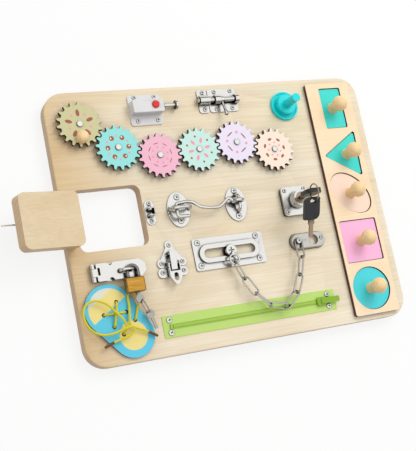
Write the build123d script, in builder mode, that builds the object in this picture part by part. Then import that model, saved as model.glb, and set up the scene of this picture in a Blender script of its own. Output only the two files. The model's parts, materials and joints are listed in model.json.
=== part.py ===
from build123d import *
from math import atan2, cos, degrees, hypot, pi, radians, sin, tan
import os

os.makedirs("parts", exist_ok=True)

# The board lies flat on its back. The origin is the middle of its back face, +X runs along the long side,
# +Y up the board and +Z out of its front face. All sizes are in millimetres.

# Board
board_width = 400
board_height = 300
board_thickness = 15
board_corner_radius = 24
board_edge_round = 1.2
front = board_thickness

# Window and door: the door is the piece sawn out of the window
window_x = -147
window_y = 6.4
window_width = 78
window_height = 68
window_corner_radius = 8.5
door_gap = 4.5
door_width = window_width - 2 * door_gap
door_height = window_height - 2 * door_gap
door_corner_radius = 7
door_open_angle = 167

# Shared fits
running_clearance = 0.05
loose_clearance = 0.3
overrun = 1

# Plate screws
screw_shank_radius = 1.2
screw_depth = 9
screw_head_height = 1.2
screw_cross_width = 0.8
screw_cross_depth = 0.6
screw_cross_share = 1.15
small_head_radius = 2.3
large_head_radius = 3.3

plate_thickness = 1.5
plate_corner_radius = 3
small_corner_radius = 1.5
near_half_share = 0.49
hinge_leaf_lift = 0.15


def on_face(height):
    """Plane parallel to the board, at a height above its front face."""
    return Plane.XY.offset(front + height)


def at(x, y, height):
    """Point at a height above the board's front face."""
    return Vector(x, y, front + height)


def save(shape, name):
    """Label a shape and write it to its own file."""
    shape.label = name
    export_step(shape, f"parts/{name}.step")


def centred(middle, width):
    """Limits of a width about its middle."""
    return (middle - width / 2, middle + width / 2)


def along(start, angle, distance):
    """Point at a distance from start, in a direction given in degrees."""
    return (start[0] + distance * cos(radians(angle)), start[1] + distance * sin(radians(angle)))


def pillars(places, radius, floor, roof):
    """Upright round pillars at places, between two heights."""
    with BuildPart(mode=Mode.PRIVATE) as shape:
        with BuildSketch(on_face(floor)):
            with Locations(*places):
                Circle(radius)
        extrude(amount=roof - floor)
    return shape.part


def screw_bores(places, height):
    """Bores for screw shanks, from a height down into the board."""
    return pillars(places, screw_shank_radius + running_clearance, -screw_depth - overrun, height + overrun)


def bar(start, end, radius):
    """Round bar between two points."""
    with BuildPart(mode=Mode.PRIVATE) as shape:
        with BuildSketch(Plane(origin=start, z_dir=end - start)):
            Circle(radius)
        extrude(amount=(end - start).length)
    return shape.part


def ball(centre, radius):
    """Ball about a point."""
    with BuildPart(mode=Mode.PRIVATE) as shape:
        with Locations(centre):
            Sphere(radius)
    return shape.part


def ring(centre, normal, ring_radius, wire_radius):
    """Ring of round wire about a point, square to a direction."""
    with BuildPart(mode=Mode.PRIVATE) as shape:
        with Locations(Plane(origin=centre, z_dir=normal)):
            Torus(ring_radius, wire_radius)
    return shape.part


def block(x_span, y_span, height_span):
    """Square-cornered block between limits."""
    with BuildPart(mode=Mode.PRIVATE) as shape:
        with BuildSketch(on_face(height_span[0])):
            with Locations(((x_span[0] + x_span[1]) / 2, (y_span[0] + y_span[1]) / 2)):
                Rectangle(x_span[1] - x_span[0], y_span[1] - y_span[0])
        extrude(amount=height_span[1] - height_span[0])
    return shape.part


def cross_recess(x, y, length, width, height_span):
    """Cross of two thin blocks that cuts a recess for a screwdriver."""
    with BuildPart(mode=Mode.PRIVATE) as shape:
        add(block(centred(x, length), centred(y, width), height_span))
        add(block(centred(x, width), centred(y, length), height_span))
    return shape.part


def slab(x_span, y_span, height_span, corner_radius):
    """Block between limits with rounded upright corners."""
    with BuildPart(mode=Mode.PRIVATE) as shape:
        with BuildSketch(on_face(height_span[0])):
            with Locations(((x_span[0] + x_span[1]) / 2, (y_span[0] + y_span[1]) / 2)):
                RectangleRounded(x_span[1] - x_span[0], y_span[1] - y_span[0], corner_radius)
        extrude(amount=height_span[1] - height_span[0])
    return shape.part


def round_wire(points, bend_radii, wire_radius):
    """Round wire along straight runs joined by tangent arcs."""
    with BuildPart(mode=Mode.PRIVATE) as wire:
        with BuildLine() as route:
            FilletPolyline(*points, radius=bend_radii)
        with BuildSketch(Plane(origin=route.line @ 0, z_dir=route.line % 0)):
            Circle(wire_radius)
        sweep(path=route.line)
    return wire.part


def wire_link(place, length, width, wire_radius):
    """Closed oval link of round wire, centred on a plane, long side along its x."""
    arc_radius = width / 2 - wire_radius
    straight = length - width
    with BuildPart(mode=Mode.PRIVATE) as link:
        with BuildSketch(Plane.YZ.offset(-straight / 2)):
            with Locations((-arc_radius, 0), (arc_radius, 0)):
                Circle(wire_radius)
        extrude(amount=straight)
        for side in (-1, 1):
            with BuildSketch(Plane.YZ.offset(side * straight / 2)):
                with Locations((arc_radius, 0)):
                    Circle(wire_radius)
            revolve(axis=Axis((side * straight / 2, 0, 0), (0, 0, side)), revolution_arc=-180)
    return link.part.moved(place.location)


# Gears: six alike, in mesh along a winding row
gear_teeth = 18
gear_spacing = 48.5
gear_tip_radius = 25.6
gear_root_radius = 21.5
tooth_root_width = 4.4
tooth_tip_width = 1.9
gear_thickness = 5
gear_standoff = 3
gear_axle_radius = 2.5
gear_collar_radius = 6
gear_cap_radius = 3.6
gear_cap_height = 1.8
first_gear = (-164.8, 111.2)
gear_row_angles = (-37.3, -15.0, 3.35, 5.3, -14.5)
first_gear_phase = 4
crank_knob_radius = 6.8
crank_knob_height = 9
crank_pin_radius = 2
crank_offset = 15.5
crank_angle = -91
crank_crown_share = 0.75

gear_centres = [first_gear]
for row_angle in gear_row_angles:
    gear_centres.append(along(gear_centres[-1], row_angle, gear_spacing))
tooth_step = 360 / gear_teeth
gear_phases = [first_gear_phase]
for row_angle in gear_row_angles:
    gear_phases.append((2 * row_angle + 180 - gear_phases[-1] - tooth_step / 2) % tooth_step)
gear_floor = gear_standoff
gear_roof = gear_standoff + gear_thickness
gear_cap_floor = gear_roof + loose_clearance
gear_cap_roof = gear_cap_floor + gear_cap_height


def make_gear(centre, phase):
    """Toothed disc with a bore on its axle."""
    with BuildPart(mode=Mode.PRIVATE) as gear:
        with BuildSketch(Plane(origin=at(*centre, gear_floor))):
            Circle(gear_root_radius)
            with PolarLocations(0, gear_teeth, start_angle=phase):
                Polygon(
                    (gear_root_radius - tooth_tip_width, -tooth_root_width / 2),
                    (gear_root_radius, -tooth_root_width / 2),
                    (gear_tip_radius, -tooth_tip_width / 2),
                    (gear_tip_radius, tooth_tip_width / 2),
                    (gear_root_radius, tooth_root_width / 2),
                    (gear_root_radius - tooth_tip_width, tooth_root_width / 2),
                    align=None,
                )
            Circle(gear_axle_radius + running_clearance, mode=Mode.SUBTRACT)
        extrude(amount=gear_thickness)
    return gear.part


crank_place = along(first_gear, crank_angle, crank_offset)
for number, (centre, phase) in enumerate(zip(gear_centres, gear_phases), 1):
    gear = make_gear(centre, phase)
    if number == 1:
        gear = gear - pillars([crank_place], crank_pin_radius + running_clearance, gear_floor, gear_roof)
    save(gear, f"gear_{number}")

# Axles: a collar under each gear, a pin into the board and a cap on top
with BuildPart() as gear_axles:
    add(pillars(gear_centres, gear_collar_radius, 0, gear_floor))
    add(pillars(gear_centres, gear_axle_radius, -screw_depth, gear_cap_floor))
    add(pillars(gear_centres, gear_cap_radius, gear_cap_floor, gear_cap_roof))
    caps = gear_axles.edges().filter_by(GeomType.CIRCLE).group_by(Axis.Z)[-1]
    fillet(caps, radius=gear_cap_height / 2)
save(gear_axles.part, "gear_axles")

# Small turned knob that cranks the first gear, on a pin that goes through it
with BuildPart() as crank_knob:
    add(pillars([crank_place], crank_pin_radius, gear_floor, gear_roof))
    add(pillars([crank_place], crank_knob_radius, gear_roof, gear_roof + crank_knob_height))
    crown = crank_knob.edges().filter_by(GeomType.CIRCLE).group_by(Axis.Z)[-1]
    fillet(crown, radius=crank_knob_radius * crank_crown_share)
save(crank_knob.part, "crank_knob")

# Puzzle frame: a thin strip with five cut-outs, glued to the board
puzzle_x = 156.5
puzzle_y = -1
puzzle_width = 61
puzzle_height = 286
puzzle_thickness = 5
puzzle_corner_radius = 3
insert_thickness = 3.6
insert_gap = 0.8
rectangle_place = (158.4, 110)
rectangle_width = 30
rectangle_height = 51
rectangle_corner_radius = 2.2
triangle_points = ((180.5, 80.2), (131.3, 51.0), (178.9, 22.3))
triangle_corner_radius = 2.2
ellipse_place = (156.5, 3)
ellipse_long = 30.5
ellipse_short = 20.5
ellipse_angle = -45
square_place = (156, -55.7)
square_side = 51
circle_place = (155, -113.5)
circle_radius = 25.5
triangle_inner_radius = 14.6

triangle_middle = (
    sum(point[0] for point in triangle_points) / len(triangle_points),
    sum(point[1] for point in triangle_points) / len(triangle_points),
)


def rectangle_outline(inset):
    """Outline of the rectangle, drawn in by an inset."""
    with BuildSketch(on_face(0), mode=Mode.PRIVATE) as outline:
        with Locations(rectangle_place):
            RectangleRounded(
                rectangle_width - 2 * inset,
                rectangle_height - 2 * inset,
                rectangle_corner_radius,
            )
    return outline.sketch


def triangle_outline(inset):
    """Outline of the triangle, drawn in by an inset."""
    middle = Vector(*triangle_middle)
    drawn_share = 1 - inset / triangle_inner_radius
    corners = [middle + (Vector(*point) - middle) * drawn_share for point in triangle_points]
    with BuildSketch(on_face(0), mode=Mode.PRIVATE) as outline:
        with BuildLine():
            Polyline(*corners, close=True)
        make_face()
        fillet(outline.vertices(), radius=triangle_corner_radius)
    return outline.sketch


def ellipse_outline(inset):
    """Outline of the ellipse, drawn in by an inset."""
    with BuildSketch(on_face(0), mode=Mode.PRIVATE) as outline:
        with Locations(ellipse_place):
            Ellipse(ellipse_long - inset, ellipse_short - inset, rotation=ellipse_angle)
    return outline.sketch


def square_outline(inset):
    """Outline of the square, drawn in by an inset."""
    with BuildSketch(on_face(0), mode=Mode.PRIVATE) as outline:
        with Locations(square_place):
            RectangleRounded(
                square_side - 2 * inset,
                square_side - 2 * inset,
                rectangle_corner_radius,
            )
    return outline.sketch


def circle_outline(inset):
    """Outline of the circle, drawn in by an inset."""
    with BuildSketch(on_face(0), mode=Mode.PRIVATE) as outline:
        with Locations(circle_place):
            Circle(circle_radius - inset)
    return outline.sketch


inserts = {
    "puzzle_rectangle": (rectangle_outline, rectangle_place),
    "puzzle_triangle": (triangle_outline, triangle_middle),
    "puzzle_ellipse": (ellipse_outline, ellipse_place),
    "puzzle_square": (square_outline, square_place),
    "puzzle_circle": (circle_outline, circle_place),
}

with BuildPart() as puzzle_frame:
    with BuildSketch(on_face(0)):
        with Locations((puzzle_x, puzzle_y)):
            RectangleRounded(puzzle_width, puzzle_height, puzzle_corner_radius)
    extrude(amount=puzzle_thickness)
    for outline, _ in inserts.values():
        extrude(outline(0), amount=puzzle_thickness, mode=Mode.SUBTRACT)
save(puzzle_frame.part, "puzzle_frame")

# Turned ball knob on each insert: a flared foot, a waist and a ball
knob_foot_radius = 7
knob_waist_radius = 5.4
knob_waist_height = 5
knob_ball_radius = 9.3
knob_ball_height = 17.4


def make_knob(place):
    """Turned knob that stands on an insert: one profile turned about its axis."""
    foot = at(*place, insert_thickness)
    waist_run = (knob_ball_radius**2 - knob_waist_radius**2) ** 0.5
    crown = (0, knob_ball_height + knob_ball_radius)
    neck = (knob_waist_radius, knob_ball_height - waist_run)
    side = (knob_ball_radius, knob_ball_height)
    with BuildPart(mode=Mode.PRIVATE) as knob:
        with BuildSketch(Plane(origin=foot, x_dir=(1, 0, 0), z_dir=(0, -1, 0))):
            with BuildLine():
                Line((0, 0), (knob_foot_radius, 0))
                Line((knob_foot_radius, 0), (knob_waist_radius, knob_waist_height))
                Line((knob_waist_radius, knob_waist_height), neck)
                ThreePointArc(neck, side, crown)
                Line(crown, (0, 0))
            make_face()
        revolve(axis=Axis(foot, (0, 0, 1)))
    return knob.part


for name, (outline, place) in inserts.items():
    with BuildPart() as insert_slab:
        extrude(outline(insert_gap), amount=insert_thickness)
    save(Compound(children=[insert_slab.part.solid(), make_knob(place).solid()]), name)

# Spring latch: a box on a screwed plate, with a sprung bolt and a push button
latch_plate_place = (-84, 124.25)
latch_plate_size = (38, 35.5)
latch_box_place = (-83.5, 125.75)
latch_box_size = (37, 15.5)
latch_box_roof = 12.5
latch_box_round = 1.5
latch_screws = [(-95, 139), (-71, 138.8), (-95, 111.4), (-71, 111.5)]
latch_bolt_y = 126.5
latch_bolt_height = 6
latch_bolt_radius = 2.25
latch_bolt_tail = -88
latch_bolt_tip = -47
latch_bore_end = -101
latch_disc_radius = 5.5
latch_disc_thickness = 2
latch_button_place = (-75, 126.5)
latch_button_radius = 4.25
latch_well_radius = 4.35
latch_well_floor = 8.6
latch_button_floor = 10.6
latch_button_roof = 14.4
latch_button_round = 0.8
latch_mouth = latch_box_place[0] + latch_box_size[0] / 2 + overrun

with BuildPart() as spring_latch_housing:
    with BuildSketch(on_face(0)):
        with Locations(latch_plate_place):
            RectangleRounded(*latch_plate_size, plate_corner_radius)
    extrude(amount=plate_thickness)
    with BuildSketch(on_face(plate_thickness)):
        with Locations(latch_box_place):
            RectangleRounded(*latch_box_size, latch_box_round)
    extrude(amount=latch_box_roof - plate_thickness)
    fillet(spring_latch_housing.faces().sort_by(Axis.Z)[-1].edges(), radius=latch_box_round / 2)
    bore_start = at(latch_bore_end, latch_bolt_y, latch_bolt_height)
    bore_mouth = at(latch_mouth, latch_bolt_y, latch_bolt_height)
    well = pillars([latch_button_place], latch_well_radius, latch_well_floor, latch_box_roof + overrun)
    add(bar(bore_start, bore_mouth, latch_bolt_radius + running_clearance), mode=Mode.SUBTRACT)
    add(well, mode=Mode.SUBTRACT)
    add(screw_bores(latch_screws, plate_thickness), mode=Mode.SUBTRACT)
save(spring_latch_housing.part, "spring_latch_housing")

bolt_tail = at(latch_bolt_tail, latch_bolt_y, latch_bolt_height)
bolt_tip = at(latch_bolt_tip, latch_bolt_y, latch_bolt_height)
disc_back = at(latch_bolt_tip - latch_disc_thickness, latch_bolt_y, latch_bolt_height)
with BuildPart() as spring_latch_bolt:
    add(bar(bolt_tail, bolt_tip, latch_bolt_radius))
    add(bar(disc_back, bolt_tip, latch_disc_radius))
save(spring_latch_bolt.part, "spring_latch_bolt")

with BuildPart() as spring_latch_button:
    add(pillars([latch_button_place], latch_button_radius, latch_button_floor, latch_button_roof))
    fillet(spring_latch_button.edges().sort_by(Axis.Z)[-1], radius=latch_button_round)
save(spring_latch_button.part, "spring_latch_button")

# Barrel bolt: a round bolt in three pressed arches, with a handle that swings about it
barrel_plate_thickness = 1.2
barrel_keeper_x = (-17.5, -5)
barrel_main_x = (-4, 32.5)
barrel_plate_y = (116, 143.7)
barrel_axis_y = 129.8
barrel_axis_height = 5.4
barrel_rod_radius = 2.8
barrel_arch_inner = 2.9
barrel_arch_outer = 5
barrel_arches = [(-17.5, -5), (1.5, 8.5), (27.4, 32)]
barrel_rod_x = (-19.5, 31.5)
barrel_rod_round = 1
barrel_screws = [(-10.4, 140.5), (-10.6, 119.9), (4.8, 140.6), (25.6, 140.6), (4.3, 119.5), (24.7, 119.7)]
handle_x = 10.7
handle_collar_width = 3.4
handle_collar_inner = 2.85
handle_collar_outer = 3.8
handle_stem_radius = 1.5
handle_stem_reach = 21.4
handle_lift_angle = 16
handle_knob_radius = 2.5
handle_knob_length = 5
handle_tip_round = 1.2



def on_barrel_axis(x):
    """Point on the barrel bolt's axis."""
    return at(x, barrel_axis_y, barrel_axis_height)


with BuildPart() as barrel_bolt_plates:
    for span in (barrel_keeper_x, barrel_main_x):
        add(slab(span, barrel_plate_y, (0, barrel_plate_thickness), plate_corner_radius))
    for span in barrel_arches:
        outer_y = centred(barrel_axis_y, 2 * barrel_arch_outer)
        add(block(span, outer_y, (0, barrel_axis_height)))
        add(bar(on_barrel_axis(span[0]), on_barrel_axis(span[1]), barrel_arch_outer))
    for span in barrel_arches:
        inner_y = centred(barrel_axis_y, 2 * barrel_arch_inner)
        add(block(span, inner_y, (barrel_plate_thickness, barrel_axis_height)), mode=Mode.SUBTRACT)
        add(bar(on_barrel_axis(span[0]), on_barrel_axis(span[1]), barrel_arch_inner), mode=Mode.SUBTRACT)
    add(screw_bores(barrel_screws, barrel_plate_thickness), mode=Mode.SUBTRACT)
save(barrel_bolt_plates.part, "barrel_bolt_plates")

with BuildPart() as barrel_bolt_rod:
    add(bar(on_barrel_axis(barrel_rod_x[0]), on_barrel_axis(barrel_rod_x[1]), barrel_rod_radius))
    rims = barrel_bolt_rod.edges().filter_by(GeomType.CIRCLE)
    fillet(rims, radius=barrel_rod_round)
save(barrel_bolt_rod.part, "barrel_bolt_rod")

handle_run = Vector(0, -cos(radians(handle_lift_angle)), sin(radians(handle_lift_angle)))
handle_root = on_barrel_axis(handle_x)
handle_knob_start = handle_root + handle_run * (handle_stem_reach - handle_knob_length)
handle_tip = handle_root + handle_run * handle_stem_reach
handle_low = on_barrel_axis(handle_x - handle_collar_width / 2)
handle_high = on_barrel_axis(handle_x + handle_collar_width / 2)
with BuildPart() as barrel_bolt_handle:
    add(bar(handle_knob_start, handle_tip, handle_knob_radius))
    fillet(barrel_bolt_handle.edges().sort_by(Axis.Y)[0], radius=handle_tip_round)
    add(bar(handle_root, handle_knob_start, handle_stem_radius))
    add(bar(handle_low, handle_high, handle_collar_outer))
    add(bar(handle_low, handle_high, handle_collar_inner), mode=Mode.SUBTRACT)
save(barrel_bolt_handle.part, "barrel_bolt_handle")

# Display bolt: a fat threaded stud on a dished flange, with a round nut
display_place = (93.3, 117.6)
display_flange_radius = 17.5
display_flange_thickness = 2
display_rim_inner = 15
display_rim_height = 4
display_rim_round = 1.1
display_stud_radius = 5
display_groove_radius = 4.4
display_stud_roof = 33
display_thread_pitch = 2.5
display_thread_start = 10
display_nut_radius = 12.5
display_nut_roof = 10
display_nut_bore = 5.1
display_nut_round = 2
display_thread_turns = int((display_stud_roof - display_thread_start) / display_thread_pitch)

with BuildPart() as display_bolt:
    add(pillars([display_place], display_flange_radius, 0, display_rim_height))
    dish = pillars([display_place], display_rim_inner, display_flange_thickness, display_rim_height)
    add(dish, mode=Mode.SUBTRACT)
    rim_edges = display_bolt.edges().filter_by(GeomType.CIRCLE).group_by(Axis.Z)[-1]
    fillet(rim_edges, radius=display_rim_round)
    add(pillars([display_place], display_stud_radius, -screw_depth, display_stud_roof))
    with BuildSketch(Plane(origin=at(*display_place, 0), x_dir=(1, 0, 0), z_dir=(0, -1, 0))):
        for turn in range(display_thread_turns):
            low = display_thread_start + turn * display_thread_pitch
            Polygon(
                (display_stud_radius + overrun, low),
                (display_groove_radius, low + display_thread_pitch / 2),
                (display_stud_radius + overrun, low + display_thread_pitch),
                align=None,
            )
    revolve(axis=Axis(at(*display_place, 0), (0, 0, 1)), mode=Mode.SUBTRACT)
save(display_bolt.part, "display_bolt")

with BuildPart() as display_nut:
    add(pillars([display_place], display_nut_radius, display_flange_thickness, display_nut_roof))
    fillet(display_nut.edges().sort_by(Axis.Z)[-1], radius=display_nut_round)
    nut_bore = pillars([display_place], display_nut_bore, display_flange_thickness, display_nut_roof)
    add(nut_bore, mode=Mode.SUBTRACT)
save(display_nut.part, "display_nut")

# Cabin hook: a wire hook on one staple that drops through the other
hook_plate_size = (27, 40)
hook_plate_places = [(-67.5, 7), (3.8, 6)]
hook_screws = [(-67.5, 21), (-67.5, -6), (3.8, 21.5), (3.8, -8)]
staple_wire_radius = 1.9
catch_staple_x = (-78.5, -56.5)
catch_staple_y = 7
catch_staple_height = 14.2
catch_staple_corner = 6
pivot_staple_y = (-2.4, 16)
pivot_staple_x = 4
hook_height = 9.8
pivot_staple_corner = 5
hook_wire_radius = 2
hook_eye_radius = 5.5
hook_eye_x = 2.7
hook_eye_y = 8
hook_route = [(-9, 12.5), (-17, 6), (-23, 3), (-34, 3.4), (-44, 5.5), (-54, 12.3)]
hook_route += [(-62, 13.2), (-73.5, 12), (-73.5, -2.5), (-60.5, -3)]
hook_bend_radii = [3, 4, 4, 8, 8, 4, 8, 3, 3]

catch_feet = [(x, catch_staple_y) for x in catch_staple_x]
pivot_feet = [(pivot_staple_x, y) for y in pivot_staple_y]


def staple(feet, height, corner_radius, wire_radius):
    """Wire staple that stands on two feet, square across at a height."""
    first, last = feet
    corners = [at(*first, 0), at(*first, height), at(*last, height), at(*last, 0)]
    return round_wire(corners, [corner_radius] * 2, wire_radius)


with BuildPart() as cabin_hook_plates:
    with BuildSketch(on_face(0)):
        with Locations(*hook_plate_places):
            Ellipse(hook_plate_size[0] / 2, hook_plate_size[1] / 2)
    extrude(amount=plate_thickness)
    add(screw_bores(hook_screws, plate_thickness), mode=Mode.SUBTRACT)
    add(staple(catch_feet, catch_staple_height, catch_staple_corner, staple_wire_radius))
    add(staple(pivot_feet, hook_height, pivot_staple_corner, staple_wire_radius))
save(cabin_hook_plates.part, "cabin_hook_plates")

hook_start = (hook_eye_x - hook_eye_radius, hook_eye_y)
hook_points = [at(x, y, hook_height) for x, y in [hook_start] + hook_route]
with BuildPart() as cabin_hook:
    add(ring(at(hook_eye_x, hook_eye_y, hook_height), (0, 1, 0), hook_eye_radius, hook_wire_radius))
    add(round_wire(hook_points, hook_bend_radii, hook_wire_radius))
    add(ball(hook_points[-1], hook_wire_radius))
save(cabin_hook.part, "cabin_hook")

# Hasp: a strap hinged on a base leaf, slotted over a staple on its own plate
hasp_y = (-61, -42)
hasp_base_x = (-179, -153)
hasp_staple_plate_x = (-152, -123)
hasp_staple_plate_y = (-60, -44)
hasp_pin_x = -178.5
hasp_pin_height = 4.5
hasp_pin_radius = 1.3
hasp_knuckle_radius = 2.6
hasp_knuckle_y = [(-61, -56), (-47, -42)]
hasp_strap_knuckle_y = (-55.7, -47.3)
hasp_strap_height = (5.6, 7.1)
hasp_strap_end = -120.5
hasp_end_chamfer = 5.8
hasp_waist_x = -160
hasp_waist_radius = 3
hasp_strap_start = hasp_pin_x + hasp_waist_radius
hasp_slot_x = (-152.9, -130.3)
hasp_slot_width = 5
hasp_slot_y = -52.6
hasp_small_slot_x = (-174.3, -171.7)
hasp_small_slot_y = (-54.5, -46.4)
hasp_staple_radius = 1.6
hasp_staple_x = (-150.5, -137)
hasp_staple_height = 15.5
hasp_staple_corner = 5

hasp_feet = [(x, hasp_slot_y) for x in hasp_staple_x]


def hasp_bar(y_span, radius):
    """Round bar along the hasp's pin."""
    low, high = y_span
    return bar(at(hasp_pin_x, low, hasp_pin_height), at(hasp_pin_x, high, hasp_pin_height), radius)


with BuildPart() as hasp_plates:
    add(slab(hasp_base_x, hasp_y, (0, plate_thickness), small_corner_radius))
    add(slab(hasp_staple_plate_x, hasp_staple_plate_y, (0, plate_thickness), small_corner_radius))
    for span in hasp_knuckle_y:
        add(hasp_bar(span, hasp_knuckle_radius))
        add(block(centred(hasp_pin_x, 2 * plate_thickness), span, (0, hasp_pin_height)))
    add(hasp_bar(hasp_y, hasp_pin_radius))
    add(staple(hasp_feet, hasp_staple_height, hasp_staple_corner, hasp_staple_radius))
save(hasp_plates.part, "hasp_plates")

with BuildPart() as hasp_strap:
    add(hasp_bar(hasp_strap_knuckle_y, hasp_knuckle_radius))
    add(block((hasp_pin_x, hasp_strap_start + hasp_waist_radius), hasp_strap_knuckle_y, hasp_strap_height))
    with BuildSketch(on_face(hasp_strap_height[0])) as strap_outline:
        with Locations(((hasp_strap_start + hasp_strap_end) / 2, (hasp_y[0] + hasp_y[1]) / 2)):
            Rectangle(hasp_strap_end - hasp_strap_start, hasp_y[1] - hasp_y[0])
        chamfer(strap_outline.vertices().group_by(Axis.X)[-1], length=hasp_end_chamfer)
        fillet(strap_outline.vertices().group_by(Axis.X)[0], radius=small_corner_radius)
        with Locations((hasp_waist_x, hasp_y[0]), (hasp_waist_x, hasp_y[1])):
            Circle(hasp_waist_radius, mode=Mode.SUBTRACT)
    extrude(amount=hasp_strap_height[1] - hasp_strap_height[0])
    slot_y = centred(hasp_slot_y, hasp_slot_width)
    slot_round = hasp_slot_width * near_half_share
    add(slab(hasp_slot_x, slot_y, hasp_strap_height, slot_round), mode=Mode.SUBTRACT)
    add(block(hasp_small_slot_x, hasp_small_slot_y, hasp_strap_height), mode=Mode.SUBTRACT)
    add(hasp_bar(hasp_y, hasp_pin_radius + running_clearance), mode=Mode.SUBTRACT)
save(hasp_strap.part, "hasp_strap")

# Padlock hung from the hasp's staple, with its key in it and a second key on the ring
shackle_radius = 1.7
shackle_x = (-144, -132)
shackle_bend_y = -54.8
shackle_height = 11.5
shackle_end_y = -70
padlock_x = (-148.5, -127.5)
padlock_y = (-78, -62)
padlock_height = (6.5, 16.5)
padlock_round = 1.9
padlock_plug_radius = 3
padlock_plug_depth = 6
padlock_plug_x = -136
padlock_key_bow = (-135.2, -85.4)
padlock_key_bow_radius = 4.8
padlock_key_hole_radius = 1.7
padlock_hole_shares = (0.25, 0.4)
padlock_key_thickness = 1.6
padlock_blade_width = 3.4
padlock_ring_radius = 6.5
padlock_ring_wire = 0.6
padlock_ring_tilt = 38
padlock_second_bow = (-126.2, -102.3)
padlock_second_tip = (-122, -118.7)
padlock_second_height = 9.2

shackle_reach = (shackle_x[1] - shackle_x[0]) / 2
shackle_ends = [at(x, shackle_end_y, shackle_height) for x in shackle_x]
shackle_bends = [at(x, shackle_bend_y, shackle_height) for x in shackle_x]
shackle_top = at(shackle_x[0] + shackle_reach, shackle_bend_y + shackle_reach, shackle_height)
with BuildPart() as padlock_shackle:
    with BuildLine() as shackle_route:
        Line(shackle_ends[0], shackle_bends[0])
        ThreePointArc(shackle_bends[0], shackle_top, shackle_bends[1])
        Line(shackle_bends[1], shackle_ends[1])
    with BuildSketch(Plane(origin=shackle_route.line @ 0, z_dir=shackle_route.line % 0)):
        Circle(shackle_radius)
    sweep(path=shackle_route.line)
save(padlock_shackle.part, "padlock_shackle")

with BuildPart() as padlock_body:
    add(block(padlock_x, padlock_y, padlock_height))
    fillet(padlock_body.edges(), radius=padlock_round)
    for x in shackle_x:
        hole_floor = at(x, shackle_end_y - overrun, shackle_height)
        hole_mouth = at(x, padlock_y[1] + overrun, shackle_height)
        add(bar(hole_floor, hole_mouth, shackle_radius + running_clearance), mode=Mode.SUBTRACT)
    plug_mouth = at(padlock_plug_x, padlock_y[0] - overrun, shackle_height)
    plug_floor = at(padlock_plug_x, padlock_y[0] + padlock_plug_depth, shackle_height)
    add(bar(plug_mouth, plug_floor, padlock_plug_radius + running_clearance), mode=Mode.SUBTRACT)
save(padlock_body.part, "padlock_body")


def flat_key(bow, tip, height, hole):
    """Flat key: a round bow with a hole and a straight blade, centred on a height."""
    direction = degrees(atan2(tip[1] - bow[1], tip[0] - bow[0]))
    blade_middle = ((bow[0] + tip[0]) / 2, (bow[1] + tip[1]) / 2, 0)
    with BuildPart(mode=Mode.PRIVATE) as key:
        with BuildSketch(on_face(height - padlock_key_thickness / 2)):
            with Locations(bow):
                Circle(padlock_key_bow_radius)
            with Locations(Location(blade_middle, (0, 0, direction))):
                Rectangle(hypot(tip[0] - bow[0], tip[1] - bow[1]), padlock_blade_width)
            with Locations(hole):
                Circle(padlock_key_hole_radius, mode=Mode.SUBTRACT)
        extrude(amount=padlock_key_thickness)
    return key.part


hole_shift = [share * padlock_key_bow_radius for share in padlock_hole_shares]
first_hole = (padlock_key_bow[0] + hole_shift[0], padlock_key_bow[1] - hole_shift[1])
second_hole = (padlock_second_bow[0] - hole_shift[0], padlock_second_bow[1] + hole_shift[1])
plug_front = (padlock_plug_x, padlock_y[0])
plug_back = (padlock_plug_x, padlock_y[0] + padlock_plug_depth - running_clearance)
with BuildPart() as padlock_first_key:
    add(flat_key(padlock_key_bow, plug_front, shackle_height, first_hole))
    add(bar(at(*plug_front, shackle_height), at(*plug_back, shackle_height), padlock_plug_radius))
second_key = flat_key(padlock_second_bow, padlock_second_tip, padlock_second_height, second_hole)

# The keys' ring runs through both holes, leaning over from upright by its tilt
ring_start = at(*first_hole, shackle_height)
ring_end = at(*second_hole, padlock_second_height)
ring_run = (ring_end - ring_start).normalized()
ring_side = Vector(-ring_run.Y, ring_run.X, 0).normalized()
ring_normal = ring_side.rotate(Axis((0, 0, 0), ring_run), padlock_ring_tilt)
ring_plane = Plane(origin=(ring_start + ring_end) / 2, x_dir=ring_run, z_dir=ring_normal)
ring_length = (ring_end - ring_start).length + 2 * padlock_ring_wire
key_ring = wire_link(ring_plane, ring_length, padlock_ring_radius * 2, padlock_ring_wire)
key_solids = [padlock_first_key.part.solid(), second_key.solid(), key_ring.solid()]
save(Compound(children=key_solids), "padlock_keys")

# Toggle latch: a lever that pulls a claw off its keeper plate
toggle_keeper_screws = [(-87.8, -31.4), (-100, -50.6), (-75.2, -50.6)]
toggle_keeper_lobe = 4.8
toggle_keeper_web = 2.6
toggle_base_x = (-105.7, -71)
toggle_base_y = (-66, -56)
toggle_base_round = 4.5
toggle_base_screws = [(-100.6, -60.6), (-75.4, -60.6)]
toggle_x = -88.2
toggle_lip_y = (-42, -40.5)
toggle_lip_width = 7
toggle_lip_roof = 8
toggle_pin = (-52, 5.5)
toggle_pin_radius = 1
toggle_ear_inner = 4.2
toggle_ear_outer = 5.2
toggle_ear_radius = 2.2
toggle_lever_inner = 5.6
toggle_lever_outer = 7
toggle_lever_top = (7.5, 9)
toggle_lever_front = -60.6
toggle_taper_start = -67.5
toggle_lever_end = -75.7
toggle_tip_radius = 3.6
toggle_arm_radius = 2.6
toggle_slot_y = (-71.5, -62.8)
toggle_slot_width = 4.6
claw_pin = (-58.5, 6)
claw_pin_radius = 0.8
claw_knuckle_radius = 1.5
claw_half_width = 3.5
claw_points = [(-58.5, 7.5), (-53.5, 8.6), (-38.4, 10.2), (-38.4, 4)]
claw_points += [(-39.6, 4), (-39.6, 8.9), (-53.3, 7.4), (-58.5, 6)]


def across_toggle(place, half_width, radius):
    """Round bar across the toggle latch, given its (y, height) and half its length."""
    return bar(at(toggle_x - half_width, *place), at(toggle_x + half_width, *place), radius)


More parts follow.
